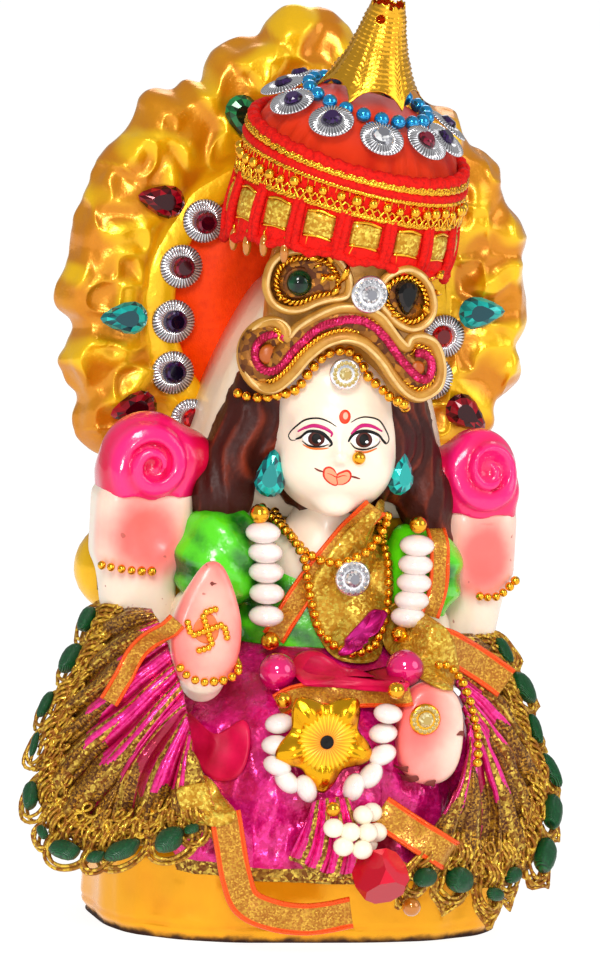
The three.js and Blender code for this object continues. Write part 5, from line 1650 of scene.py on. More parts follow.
def facing(form, at, normal=(0, -1, 0), turn=0.0):
    """form, whose top is +Z and whose up is +Y, set at a place and facing normal."""
    normal = np.asarray(normal, float) / np.linalg.norm(normal)
    up = np.array([0, 0, 1.0]) - normal * normal[2]
    if np.linalg.norm(up) < 0.2:
        up = np.array([0, 1.0, 0])
    up /= np.linalg.norm(up)
    right = np.cross(up, normal)
    c, s = math.cos(math.radians(turn)), math.sin(math.radians(turn))
    return form.moved(at, right * c - up * s, right * s + up * c, normal)


ARCH_DISCS = (
    (-22.4, 147.2, "maroon_gem"), (-27.0, 137.4, "maroon_gem"), (-28.1, 125.6, "violet_gem"),
    (-27.7, 114.6, "violet_gem"),
    (-23.4, 104.6, "ruby_gem"), (32.0, 123.5, "ruby_gem"), (29.6, 114.6, "maroon_gem"),
)
ARCH_STONES = (
    ("arch_stone_upper_left", -15.5, 169.5, 158, "green_gem"),
    ("arch_stone_shoulder_left", -32.6, 151.6, -80, "red_gem"),
    ("arch_stone_side_left", -39.5, 126.4, -92, "teal_gem"),
    ("arch_stone_lower_left", -36.4, 107, -105, "red_gem"),
    ("arch_stone_upper_right", 16.5, 170, -150, "green_gem"),
    ("arch_stone_side_right", 39.8, 129, 86, "teal_gem"),
    ("arch_stone_lower_right", 37.4, 107, 125, "red_gem"),
)
ARCH_CARRIERS = slice(1, 5)
STONE_SLOTS = {"green_gem": "teal_crystal", "red_gem": "red_crystal", "teal_gem": "teal_crystal"}


def arch_disc_row(radius):
    """The discs that straddle the band of the arch, with their stones by finish."""
    discs, stones = [], []
    for x, z, gem_name in ARCH_DISCS:
        y = front(x, z, 3.4, among=ARCH_CARRIERS) - 0.15
        inward = np.array([1.0 - x, 0, 127.0 - z])
        inward /= np.linalg.norm(inward)
        discs.append(facing(fluted_disc(radius), (x, y, z)))
        seat = np.array([x, y - 0.5, z]) + inward * 0.5
        stones.append((gem_name, facing(cut_stone(round_outline(2.4, 16), 0.62, 1.5), seat)))
    return joined(discs), stones


CAP_DISC_TURNS = (-164, -127, -92, -58, -30)


def cap_disc_row(radius):
    discs, stones = [], []
    hearts = ("violet_gem", "violet_gem", "clear_gem", "maroon_gem", "violet_gem")
    for i, turn in enumerate([*CAP_DISC_TURNS, 2, 34, 66, 98, 130, 162]):
        at, above, inside = (
            cap_point(np.array([turn]), reach, height)[0] for reach, height in (
                (18.0, 31.6), (18.5, 32.47), (16.5, 32.4)
            )
        )
        normal = above - at
        lift = normal / np.linalg.norm(normal) * (0.3 + 0.5 * (i % 2))
        discs.append(facing(fluted_disc(radius), at + lift, normal))
        seat = at + lift + (inside - at) * 0.25 + normal * 0.55
        stones.append((hearts[i % 5], facing(cut_stone(round_outline(2.0, 14), 0.62, 1.3), seat, normal)))
    return joined(discs), stones


# Cloth: the skirt, its pleats, lace and ribbons

LEFT_FAN = {
    "gather": ((-38.6, -17, 69), (-37.5, -23, 66), (-36.5, -29, 60), (-35, -34, 53), (-34, -38, 44)),
    "hem": (
        (-44, -7, 67), (-49, -10, 57), (-54.8, -13.5, 46), (-57.3, -17, 34), (-55, -24, 25.5),
        (-46, -31, 24.5),
        (-37, -37, 28.5), (-30.5, -41, 31),
    ),
    "barrels": (
        (-48.9, 64.9, 5.1, 3.4), (-53.2, 56.8, 5.5, 4.7), (-59.1, 47.9, 5.1, 3), (-61.2, 39.8, 4.7, 2.1),
        (-62.8, 29.7, 5.1, 3.8), (-60.6, 23.1, 3, 2.1), (-57.6, 19.6, 6, 4.3), (-50.9, 15.3, 3.4, 3),
        (-46.5, 20.8, 6.8, 5.1), (-38.2, 24.9, 5.5, 5.5), (-34, 26.9, 3, 2.1),
    ),
    "fringe": (),
}
RIGHT_FAN = {
    "gather": ((25, -13, 63), (26.5, -20, 58), (27, -30, 51), (26.5, -38.5, 44)),
    "hem": (
        (36.5, -8, 62), (41.8, -11, 51), (44.8, -14, 41), (47.5, -17, 33), (45.5, -21, 25), (42, -25, 19.5),
        (34, -31, 17), (25, -36, 20), (15, -43, 22),
    ),
    "barrels": (
        (41.8, 60, 5.5, 3), (46.1, 51.7, 6, 5.1), (48.9, 43.4, 5.5, 3.4), (53.4, 34.9, 6, 4.7),
        (50.6, 26.7, 6, 5.1), (48.6, 18, 6, 5.5), (39.6, 14.4, 3.8, 3.4), (35.2, 10.7, 3.8, 3),
        (25.2, 15.6, 5.5, 5.5), (15.6, 16.9, 4.7, 4.3),
    ),
    "fringe": ((1.5, 7.6, -0.6), (1.2, 6.2, -1.2), (1.7, 5.4, 0.1), (0.8, 8.2, -0.9)),
}
FRONT_PLEATS = {
    "gather": ((-8.5, -42.5, 33), (-5, -43.5, 34), (-1, -43.5, 34)),
    "hem": ((-13, -42, 21), (-6, -44, 17.5), (3, -44, 17.5)),
}


def pleated(fan, pleats, depth, rows, columns, seed):
    """Points and folds of a cloth that is gathered at one edge and spreads in pleats to the other."""
    u = np.linspace(0, 1, columns)[None]
    v = np.linspace(0, 1, rows)[:, None]
    gather, hem = (smooth_path(fan[edge], columns)[None] for edge in ("gather", "hem"))
    points = gather + (hem - gather) * v[..., None]
    swell = unit(gather * [0.3, 0, 0] + [0, -20, 8])
    wander = 0.35 * unevenness(points, 13, seed) * v
    phase = (u * pleats + wander) % 1
    fold = 0.5 - np.abs(np.clip(phase, 0, 1) * 2 - 1) ** 1.3
    small = 0.05 * np.sin((u * pleats * 5 + wander * 3) * TAU) + 0.26 * unevenness(points, 4.5, seed + 1)
    height = 3 * np.sin(math.pi * v) + (fold + small) * depth * (0.35 + 0.65 * v)
    return points + swell * height[..., None], fold, v + 0 * u


def zoned(points, thickness, finish_of, tone=0.5):
    """A cloth as a closed sheet, and the finish of each of its faces, from that of each cell."""
    sheet = slab(points, thickness, tone=tone)
    cells = np.concatenate([finish_of, finish_of[:, -1:], finish_of[:, ::-1], finish_of[:, :1]], axis=1)
    return np.concatenate([cells.reshape(-1), finish_of[0], finish_of[-1]]), sheet


def make_fan(fan, side):
    points, fold, reach = pleated(fan, 9, 4.2, 46, 300, 81 + side)
    across = np.broadcast_to(np.linspace(0, 1, 300), reach.shape)
    gap = np.exp(-(((across - 0.74) / 0.05) ** 2)) * np.sin(math.pi * np.clip(reach, 0, 1)) ** 0.7
    points = points - unit(np.array([-0.5 * side, -1, 0.2])) * (5.5 * gap)[..., None]
    middle = (fold[:-1, :-1] + fold[1:, 1:]) / 2
    down, along = reach[:-1, :-1], across[:-1, :-1]
    patch = unevenness(points[:-1, :-1], 9, 83)
    finish = np.full(middle.shape, "foil", dtype=object)
    edge = 0.6 + 0.25 * patch + 0.14 * np.sin(along * 57) - 0.5 * blend_step(-along, -0.45, -0.05)
    finish[(down > edge) & (middle > -0.42)] = "brown_net"
    finish[(down + 0.1 * patch > 0.74) & (middle > -0.3)] = "lace_net"
    finish[(np.abs(middle - 0.22) < 0.16) & (down < 0.94) & (np.sin(along * 41 + 1) > -0.2)] = "glitter"
    finish[down > 0.94] = "glitter"
    # The tone is painted shade: high in the valleys of the pleats and in the deep gap, where the foil turns
    # crimson.
    return points, finish, np.clip(blend_step(-fold, -0.25, 0.4) + 0.9 * gap, 0, 1)


def on_hem(fan, u, along, off):
    """A place beyond the hem of a fan, off towards the viewer."""
    u, along, off = np.broadcast_arrays(*(np.asarray(value, float) for value in (u, along, off)))
    count = 400
    gather, hem = smooth_path(fan["gather"], count), smooth_path(fan["hem"], count)
    out = unit(hem - gather)
    across = unit(np.cross(out, tangents(hem)))
    across *= np.where(across[:, 1:2] > 0, -1, 1)
    spot = np.clip(u, 0, 1) * (count - 1)
    foot, out, across = (sampled(line, np.arange(count), spot) for line in (hem, out, across))
    beyond = (u - np.clip(u, 0, 1)) * path_length(hem)
    last = unit(np.where(u[..., None] > 0.5, hem[-1] - hem[-2], hem[1] - hem[0]))
    return foot + out * along[..., None] + across * off[..., None] + last * beyond[..., None]


def barrel_spots(fan):
    """Where each wound barrel hangs, as a share of the hem and a distance beyond it."""
    shares, reaches = np.repeat(np.linspace(0.0, 1.0, 101), 4), np.tile((1.5, 3.0, 4.5, 6.0), 101)
    x, _, z = on_hem(fan, shares, reaches, 2.4).T
    spots = []
    for barrel_x, barrel_z, long, thick in fan["barrels"]:
        nearest = np.argmin(np.hypot(x - barrel_x, z - barrel_z))
        spots.append((shares[nearest], reaches[nearest], long, thick))
    return spots


BARREL_PROFILE = (
    # radius as a share of half the thickness, and place along it as a share of the length
    (0.14, -0.5), (0.62, -0.48), (0.88, -0.34), (1.0, -0.12), (1.0, 0.12), (0.88, 0.34), (0.62, 0.48),
    (0.14, 0.5),
)


def make_lace(fan, side):
    """The net of a lace as a cloth, and its threads and wound barrels."""
    rng = np.random.default_rng(90 + side)
    u = np.linspace(0, 1, 220)[None]
    beat = np.cos(u * 11 * TAU)
    out = -3.2 + (7.4 - 0.9 * beat) * np.linspace(0, 1, 12)[:, None]
    lift = 0.7 + 0.35 * np.sin(u * 90) * np.linspace(1, 0, 12)[:, None] + 0.3 * np.sin(u * 233)
    net = slab(on_hem(fan, u, out, lift), 0.7)
    gold, barrels = [], []
    length = path_length(smooth_path(fan["hem"], 100))

    def thread(du, along, off, radius, sides=5):
        gold.append(tube(smooth_path(on_hem(fan, du, along, off), len(du) * 3), radius, sides))

    for u0, reach, long, thick in barrel_spots(fan):
        barrel = lathe([(radius * thick / 2, height * long) for radius, height in BARREL_PROFILE], 18, 0.5)
        ends = on_hem(fan, [u0 - 0.01, u0 + 0.01], reach, 2.4)
        along = unit(ends[1] - ends[0])
        outward = unit(on_hem(fan, u0, reach + 1, 1.5) - on_hem(fan, u0, reach, 1.5))
        barrels.append(barrel.moved(ends.mean(0), outward, np.cross(along, outward), along))
        wide = (long / 2 + 0.6) / length
        turn = np.linspace(-1.15 * math.pi / 2, 1.15 * math.pi / 2, 9)
        for spread, far, high, root in (
            (1.1, 3.2, 1.0, -1.6), (1.4, 4.0, 0.4, -2.6), (1.22, 3.6, -0.9, -3.0)
        ):
            du = [u0 - wide * spread * 0.6, *(u0 + wide * spread * np.sin(turn)), u0 + wide * spread * 0.6]
            reach_out = [root, *(reach - 0.2 + far * np.cos(turn) * (0.8 + 0.1 * thick)), root]
            off = [1.6, *(high + 0.3 * rng.normal(size=9)), 1.6]
            thread(np.array(du), np.array(reach_out), np.array(off), 0.42)
        for shift in (-0.8, -0.35, 0.1, 0.55):
            du = u0 + wide * (np.array([shift - 0.1, shift, shift + 0.15]) + rng.uniform(-0.1, 0.1))
            bow = np.array([1.4, 2.9, 1.2])
            thread(du, reach - thick / 2 + np.array([-5.4, -2.4, 0.4]) + rng.uniform(-0.4, 0.4), bow, 0.42)
        for spread, far, high in fan["fringe"]:
            du = u0 + wide * spread * np.array([-0.7, -0.8, -0.35, 0.0, 0.35, 0.8, 0.7])
            thread(
                du, reach + far * np.array([0.1, 0.5, 0.8, 1.0, 0.75, 0.5, 0.1]),
                high + 0.3 * rng.normal(size=7), 0.42
            )
        tip = u0 + wide * 1.5
        thread(tip + wide * np.array([-0.5, -0.1, 0.0, 0.1, 0.5]), np.array([2.0, 5.4, 6.8, 5.4, 2.0]),
               np.array([0.2, 0.5, 0.2, -0.2, 0.4]), 0.5)
    for base, size, number, high in (
        (-1.2, 1.7, 36, 1.7), (1.0, 1.5, 43, 1.8), (-4.0, 1.4, 31, 1.9), (3.0, 1.1, 52, -0.4)
    ):
        t = np.linspace(0, 1, number * 12)
        curl = t * number * TAU
        du = t + 0.8 / length * size * np.sin(curl) * (1 + 0.3 * np.sin(curl * 0.37))
        along = base + size * np.cos(curl + 0.4 * np.sin(curl * 0.23))
        gold.append(tube(on_hem(fan, du, along, high + 0.35 * np.sin(curl * 0.71)), 0.34, 5))
    return net, joined(gold), joined(barrels)


def make_lap_cloth():
    rows, columns = 72, 270
    v = np.linspace(0, 1, rows)[:, None]
    u = np.linspace(0, 1, columns)[None]
    z, width, depth = np.array(LAP_PROFILE, float).T
    level = np.linspace(0, len(z) - 1, rows)
    z, width, depth = (np.interp(level, np.arange(len(z)), line)[:, None] for line in (z, width, depth))
    points = ringed(width, depth, np.radians(192 + 156 * u), z) + [LAP["x"], LAP["y"], 0]
    drift = 1.2 * unevenness(points, 16, 85)
    fold = 0.5 + 0.5 * np.cos(TAU * 6 * u + drift)
    ridge = 1 - np.abs(unevenness(points, 7.5, 86))
    crease = 1 - np.abs(unevenness(points * [1, 1, 0.6], 4, 87))
    grow = 1.2 + 1.3 * fold * v + 0.9 * (ridge**3) * (0.4 + 0.6 * v) + 0.5 * crease**4
    out = unit(points * [1, 1, 0] - [LAP["x"], LAP["y"], 0])
    points = points + out * grow[..., None]
    # Painted shade: the tone is low on the ridges and high in the valleys of the folds, where the foil turns
    # crimson.
    tone = np.clip(0.75 - 0.8 * ridge**2 + 0.25 * (1 - fold), 0, 1)
    finish = np.full((rows - 1, columns - 1), "foil", dtype=object)
    finish[-3:] = "glitter"
    return points, finish, tone


def laid_patch(outline, lift, thickness=0.7, crumple=0.3, seed=1, rings=9):
    """A thin piece of cloth with that [x, z] outline, laid over what is there."""
    outline = smooth_path(outline, 60, closed=True)
    middle = outline.mean(0)
    shares = [1.0, *np.linspace(1.0, 0.06, rings)]
    points = []
    for i, share in enumerate(shares):
        flat = middle + (outline - middle) * share
        depth = np.array([front(x, z, 0.8, 4) for x, z in flat])
        depth = (np.roll(depth, 1) + 2 * depth + np.roll(depth, -1)) / 4
        ring = at_depth(flat, depth - lift)
        ring[:, 1] += crumple * unevenness(ring, 3.2, seed) + (thickness if i == 0 else 0)
        points.append(ring)
    points = np.array(points)
    return capped(points, 0.5 + 0.5 * unevenness(points, 4, seed + 1))


def make_ribbon(places, width, farthest):
    """A gauze ribbon with wired edges: its body, and the orange wire of each edge."""
    path = draped(places, 0.8, width / 2, step=0.6, farthest=farthest)
    _, across, out = square_frames(path)
    share = np.linspace(-1, 1, 13)
    wave = 0.35 * unevenness(path, 5, 1)
    points = path[:, None] + across[:, None] * (share[None, :, None] * width / 2)
    sag = (0.5 * (1 - share**2)[None] * np.sin(np.arange(len(path)) * 0.35)[:, None] + wave[:, None]) * 0.9
    points = points + out[:, None] * sag[..., None]
    tone = 0.12 + 0.88 * (np.abs(share) > 0.8)
    body = slab(points, 0.35, tone=np.broadcast_to(tone, points.shape[:2]))
    wires = [tube(points[:, column], 0.42, 6, tone=1.0) for column in (0, -1)]
    return joined([body, *wires])


RIBBONS = (
    (
        "ribbon_chest", "chest_ribbon", ((7.1, 92.0), (1.9, 83.9), (-3.9, 76.0), (-8.3, 69.0), (-11.5, 63.0)),
        4.6, None
    ),
    ("ribbon_waist", "lap_cloth", (
        (-14.4, 51.3), (-11.1, 53.0), (-6.8, 53.8), (-2.7, 53.8), (1.6, 53.8), (6.6, 54.6), (11.2, 56.0),
    ), 4.6, None),
    ("ribbon_shoulder", "chest_cloth", ((23.1, 86.3), (23.3, 80.2), (23.1, 74.2), (21.5, 68.4)), 3.6, None),
    (
        "ribbon_hip", "lap_ribbon_right", ((17.8, 64.5), (22.1, 64), (26.3, 62), (32.7, 58.3), (38.5, 54.5)),
        6.2, -22.0
    ),
    (
        "ribbon_hem", "hem_ribbon",
        (
            (-27.6, 30.8), (-25.9, 23.1), (-24.4, 17.1), (-21.9, 11.8), (-15.8, 9.1), (-9.5, 8.3), (-4, 8.8),
            (0.8, 9.7)
        ),
        6.0, -43.0
    ),
    ("ribbon_lap", "hem_ribbon", ((6.4, 30.9), (14, 26.2), (21.8, 21.6)), 6.2, None),
    (
        "ribbon_thigh", "fan_left",
        ((-37.6, 69.6), (-40.4, 66.2), (-43.3, 62.3), (-46.0, 57.4), (-49.3, 51.1)), 3.6, None
    ),
)
PATCHES = (
    ("chest_brocade", "chest_cloth", "brocade", (
        (11.4, 92.2), (6.4, 91.2), (2.0, 85.3), (-2.3, 78.9), (-4.8, 73.0), (-3.7, 66.7), (-1.8, 63.2),
        (1.4, 59.4), (11.0, 59.8), (14.4, 67.9), (13.8, 81.9),
    ), 0.35),
    ("waist_crimson", "lap_cloth", "heart_satin", (
        (-9.7, 57.4), (-6.9, 60.2), (-2.5, 60.8), (1.6, 58.4), (6.1, 58.0), (11.7, 58.5), (10.8, 56.9),
        (4.4, 55.2), (-2.2, 55.5), (-8.5, 55.7),
    ), 0.5),
    ("lap_heart", "lap_cloth", "heart_satin", (
        (-31.0, 48.2), (-26.4, 44.6), (-20.7, 47.9), (-20.2, 42.0), (-22.4, 36.4), (-26.9, 35.4),
        (-31.1, 40.5),
    ), 0.5),
    ("side_net", "lap_ribbon_right", "brocade", (
        (11.8, 66.4), (16.1, 70.7), (22.2, 67.4), (25.3, 61.6), (26.4, 56.2), (22.0, 56.4), (17.6, 56.9),
        (13.8, 59.2),
    ), 0.6),
    ("lap_glitter", "lap_cloth", "glitter", (
        (-35.4, 43.6), (-32.0, 40.0), (-28.4, 35.8), (-28.9, 32.6), (-32.5, 32.0), (-35.9, 34.6),
    ), 0.6),
    ("lap_net", "lap_cloth", "brocade", (
        (-37.5, 35.5), (-31.6, 37.0), (-27.6, 35.6), (-25.4, 32.4), (-26.4, 29.2), (-30.6, 28.2),
        (-35.6, 30.3),
    ), 0.5),
)


# Beads, stones and cords that are sewn or glued on

BRACELETS = {
    "bracelet_raised_left": (
        ((-48.8, 77.5), (-48.1, 77.3), (-46.2, 77), (-43.2, 76.7), (-39.4, 76.4), (-36.8, 76.6)), 3
    ),
    "bracelet_raised_right": (((33.8, 71.7), (37.8, 71.2), (40.8, 72.8), (43.4, 75.3)), 3),
    "bracelet_blessing": (((-37.2, 60.6), (-34.4, 57.8), (-30.4, 57.0), (-25.8, 57.8), (-22.2, 60.8)), 30),
    "bracelet_giving": (
        ((18.5, 60.7), (22.0, 60.2), (25.6, 56.4), (27.4, 50.6), (27.6, 45.9), (26.8, 40.2)), 30
    ),
}
NECK_CHAINS = (
    ("neck_chain_short", (
        (-9.6, 88.6), (-8.4, 85.0), (-6.6, 82.4), (-4.3, 80.6), (-1.6, 79.7), (1.4, 79.5), (4.6, 80.6),
        (8.2, 83.4), (10.6, 87.0), (10.8, 90.6),
    )),
    ("neck_chain_long", (
        (-12.6, 89.4), (-10.2, 86.4), (-8.0, 83.4), (-6.6, 80.2), (-5.5, 76.4), (-4.7, 72.6), (-3.8, 69.2),
        (-2.6, 65.2), (-1.4, 64.0), (0.4, 62.3), (2.9, 61.2), (5.9, 61.2), (8.6, 62.3), (10.6, 64.4),
        (12.2, 67.4), (13.0, 70.6), (13.2, 73.9), (13.2, 77.2), (13.1, 81.2), (13.4, 85.0), (13.8, 89.0),
    )),
)
CROWN_UPPER = (
    ((-14.1, 145.3), (-15.7, 144.4), (-17.2, 142.5), (-17.9, 140.1), (-18.0, 137.7), (-17.4, 135.6),
     (-16.4, 134.1), (-14.8, 133.2), (-12.9, 133.0), (-10.8, 133.6), (-8.5, 134.9), (-6.1, 135.8),
     (-3.7, 136.3), (-2.4, 137.2),
     (-2.1, 139.8), (-3.2, 142.6), (-5.6, 145.0), (-9.8, 146.0)),
    ((4.4, 135.4), (5.8, 133.7), (7.4, 132.0), (9.2, 130.9), (11.2, 130.3), (13.2, 130.8), (14.9, 132.1),
     (15.8, 134.0),
     (15.8, 136.4), (14.8, 139.2), (12.9, 141.5), (10.1, 142.8), (7.3, 142.3), (5.0, 140.6), (4.1, 137.9)),
)
CROWN_OUTER = (
    (-13.6, 127.4), (-13.9, 129.1), (-15.1, 130.5), (-16.8, 130.8), (-18.7, 130.1), (-20.3, 128.6),
    (-21.5, 126.6), (-22.1, 123.9), (-21.8, 121.1), (-20.8, 118.7), (-19.2, 116.9), (-17.3, 116.0),
    (-15.4, 116.5), (-13.6, 118.1), (-11.9, 120.2), (-10.1, 122.9), (-8.2, 125.0), (-6.3, 126.6),
    (-3.9, 127.6), (-1.7, 127.8), (0.8, 127.1), (3.0, 125.5), (5.3, 123.1), (7.1, 120.6), (9.0, 118.3),
    (11.1, 116.6), (13.4, 115.9), (15.6, 116.6), (17.6, 118.1), (18.4, 120.2), (18.4, 122.8), (17.6, 125.6),
    (16.4, 127.6), (14.7, 128.6), (12.7, 129.0), (10.9, 128.4), (10.2, 126.9),
)
CROWN_INNER = (
    (-13.3, 127.4), (-12.5, 129.0), (-11.4, 130.2), (-9.1, 132.0), (-6.6, 133.5), (-4.1, 134.5),
    (-1.6, 134.7), (0.9, 134.5), (3.5, 133.6), (5.2, 132.2), (6.9, 130.1), (8.5, 128.2), (9.9, 126.9),
)
CROWN_LINE = (
    (-14.4, 127.5), (-16.7, 127.8), (-18.5, 126.8), (-19.6, 124.8), (-19.5, 122.3), (-18.4, 120.6),
    (-16.7, 120.1), (-15.0, 121.0), (-13.8, 122.8), (-12.5, 124.9), (-11.0, 126.7), (-9.2, 128.8),
    (-7.1, 130.5), (-4.5, 131.5), (-1.9, 132.1), (0.6, 131.9), (2.7, 131.0), (4.7, 129.4), (6.6, 127.3),
    (8.2, 125.1), (9.8, 123.4), (11.5, 121.7), (13.4, 120.2), (15.2, 120.2), (15.9, 122.0), (15.7, 123.9),
    (14.2, 125.3), (12.4, 125.6),
)
FOREHEAD = (
    (-21.7, 114.7), (-20.4, 114.0), (-18.5, 113.7), (-16.4, 113.9), (-14.0, 114.6), (-11.3, 116.2),
    (-9.5, 118.5), (-7.8, 121.2), (-5.6, 123.7), (-3.0, 125.1), (0.1, 124.7), (2.1, 122.6), (3.7, 119.9),
    (6.0, 117.8), (8.1, 115.9), (10.1, 114.8), (11.9, 113.8), (13.3, 112.5),
)


BROW_FACES = np.array([0.25, -0.97, 0.0])


def brow_depth(x):
    """The depth of the stiff ornament over the brow, which faces a little to the left."""
    return -27.5 - 0.25 * (x + 1) + 0.011 * (x + 1) ** 2


def on_brow(places, lift=0.0, samples=40, closed=False):
    flat = smooth_path(places, samples, closed)
    return at_depth(flat, brow_depth(flat[:, 0]) - lift)


def bead_row(places, radius, pitch, tighten):
    """A string of round beads laid on what is there."""
    path = draped(places, radius, radius, tighten=tighten)
    return strung(path, ball(radius, 12, 0.94), pitch, jitter=radius * 0.06)


def mounted(form, x, z, reach, lift=0.0, turn=0.0):
    """A stone set on what is there at [x, z]."""
    return facing(form, (x, front(x, z, reach) - lift, z), turn=turn)


def rhinestone(radius, heart=0.5):
    """A stone in a ring of small ones: the ring and the stones, which face +Z."""
    seat = lathe(
        [
            (radius * 0.3, 0), (radius, 0), (radius * 1.02, 0.5), (radius * 0.9, 0.9), (radius * heart, 1.0),
            (0.2, 1.0)
        ],
        40
    )
    small = cut_stone(round_outline(radius * 0.17, 6), 0.5, 0.5)
    around = []
    for i in range(16):
        turn = TAU * i / 16
        away = radius * (1 + heart) / 2
        around.append(small.moved((away * math.cos(turn), away * math.sin(turn), 0.75)))
    centre = cut_stone(round_outline(radius * heart, 16), 0.55, 1.5, 0.8)
    return seat, joined([*around, centre])


def petal_star(radius):
    """Five puffed petals of gold foil that face +Z, one of them down, and their gathered heart."""
    down = math.radians(-90)
    turn = full_turn(200)
    beat = np.cos(5 * (turn - down))
    reach = radius * (0.84 + 0.14 * beat + 0.03 * np.clip(beat, 0, 1) ** 4)
    share = np.linspace(0, 1, 16)[:, None]
    ridge = (0.5 + 0.5 * beat)[None]
    puff = np.sin(math.pi * np.clip(share, 0, 1) ** 1.3)
    height = 1.1 + 2.3 * puff * (0.25 + 0.75 * ridge) - 0.5 * (1 - ridge) * share
    crease = 1 - np.abs(np.sin(turn * 2.5 - down * 2.5 + math.pi / 2))[None]
    height = height + 0.7 * crease**4 * puff - 0.9 * puff * np.clip(beat - 0.9, 0, 1)[None] * 8 * share**2
    radial = reach[None] * (0.12 + 0.88 * share)
    points = ringed(radial, radial, turn, height)
    back = points[-1:] * [0.97, 0.97, 0] + [0, 0, 0.15]
    star = capped(np.concatenate([back, points[::-1]]), 0.5)
    stations = (
        (1.0, 2.0, 0.0, 0.75), (1.03, 2.6, 1.0, 0.95), (0.85, 3.0, 1.0, 0.75), (0.6, 3.1, 0.8, 0.55),
        (0.35, 3.0, 0.4, 0.35), (0.2, 2.7, 0.1, 0.1), (0.05, 2.5, 0.0, 0.0),
    )
    share, z, gathered, tone = np.array(stations).T[:, :, None]
    ray = 0.13 * np.sin(turn * 33)
    reach = radius * 0.53 * share * (1 + ray * gathered * 0.6)
    rows = ringed(reach, reach, turn, z + ray * gathered)
    return star, capped(rows, tone + 0.25 * np.sin(turn * 33))


def auspicious_mark(at, turn=20):
    """The small beads of the mark in the blessing palm: four arms, each bent to one side."""
    spots = [(0, 0)]
    for k in range(4):
        c, s = math.cos(math.radians(90 * k + turn)), math.sin(math.radians(90 * k + turn))
        arm = ((1, 0), (2, 0), (3, 0), (3.6, 0.9), (3.6, 1.9), (3.5, 2.9))
        spots += [(along * c + side * s, along * s - side * c) for along, side in arm]
    beads = []
    for x, z in np.array(spots) + at:
        beads.append(ball(0.78, 10).moved((x, front(x, z, 0.4, 4) - 0.4, z)))
    return joined(beads)


def corded_crown_band():
    """The curled cord round the brow: its filling, its cords, their bright lines along the front that are
    painted highlights, and the foil line.
    """
    edge = on_brow([*CROWN_OUTER, *CROWN_INNER[::-1][1:-1]], 0.0, 300, True)
    inward = unit(np.cross(BROW_FACES, tangents(edge, True)))
    centre = on_brow(CROWN_LINE, 0.8, 200)
    filling = tube(centre + [0, 1.5, 0], 3.3, 10, flat=0.42)
    cord = tube(edge + inward * 0.35, 1.3, 10, True)
    # A pale thin cord along the front of the cord: a painted highlight.
    bright = tube(edge + BROW_FACES * 1.05 - inward * 0.15, 0.42, 6, True)
    foil_row = twisted(edge + inward * 2.0 + BROW_FACES * 0.1, 0.34, 2, 0.55, 0.3, 5, True)
    line = twisted(centre, 0.52, 3, 0.48, 0.5, 6)
    knobs = [
        ball(radius, 16, 0.5).moved((x, brow_depth(x) - 0.3, z), (1, 0, 0), (0, 0, 1), (0, -1, 0))
        for x, z, radius in ((-17.0, 123.6, 2.2), (12.9, 122.3, 1.6))
    ]
    return [
        ("cord", cord), ("brown_filling", filling), ("cord_highlight", bright), ("gold", foil_row),
        ("foil_cord", line),
        ("knob", joined(knobs)),
    ]


def corded_crown_eyes():
    """The two curled cords above, with foil and crumbs of gold in them."""
    cords, bright, gold, filling = [], [], [], []
    rng = np.random.default_rng(44)
    for places in CROWN_UPPER:
        edge = on_brow(places, -0.4, 160, True)
        cords.append(tube(edge, 0.95, 10, True))
        # A pale thin cord along the front of each cord: a painted highlight.
        bright.append(tube(edge + BROW_FACES * 0.75, 0.45, 6, True))
        middle = edge.mean(0)
        gold.append(twisted(middle + (edge - middle) * 0.74, 0.42, 2, 0.5, 0.34, 5, True))
        steps = ((0.95, 2.2), (0.92, 0.9), (0.5, 0.7), (0.05, 0.6))
        filling.append(
            capped(np.array([middle + (edge - middle) * share + [0, deep, 0] for share, deep in steps]))
        )
    for x, z, size in (
        (-8.5, 142.7, 1.2), (-6.6, 144.3, 1.5), (-5.4, 140.5, 1.3), (-5.1, 138.2, 1.1), (-9.7, 144.0, 0.9),
        (-7.3, 140.0, 1.2), (-3.4, 141.7, 1.7), (5.5, 139.5, 0.8), (14.9, 140.9, 1.0), (16.4, 138.5, 1.1),
        (13.9, 134.4, 1.0), (7.1, 133.5, 0.9), (-15.2, 135.5, 0.8), (17.0, 142.0, 1.0),
    ):
        crumb = hull_of(rng.normal(size=(9, 3)) * size * 0.62)
        gold.append(crumb.moved((x, brow_depth(x) - 0.6, z)))
    return [
        ("cord", joined(cords)), ("cord_highlight", joined(bright)), ("gold", joined(gold)),
        ("brown_filling", joined(filling)),
    ]


def bead_on(radius, x, z, reach=None, squash=1.0, sides=16):
    """A single bead that rests on what is there."""
    y = front(x, z, radius * 0.8 if reach is None else reach) - radius * 0.92
    return ball(radius, sides, squash).moved((x, y, z))


def mounted_rhinestone(radius, x, z, reach, metal="silver", glass="clear_gem"):
    """The parts of a rhinestone set on what is there."""
    seat, stones = rhinestone(radius)
    return [(metal, mounted(seat, x, z, reach)), (glass, mounted(stones, x, z, reach))]


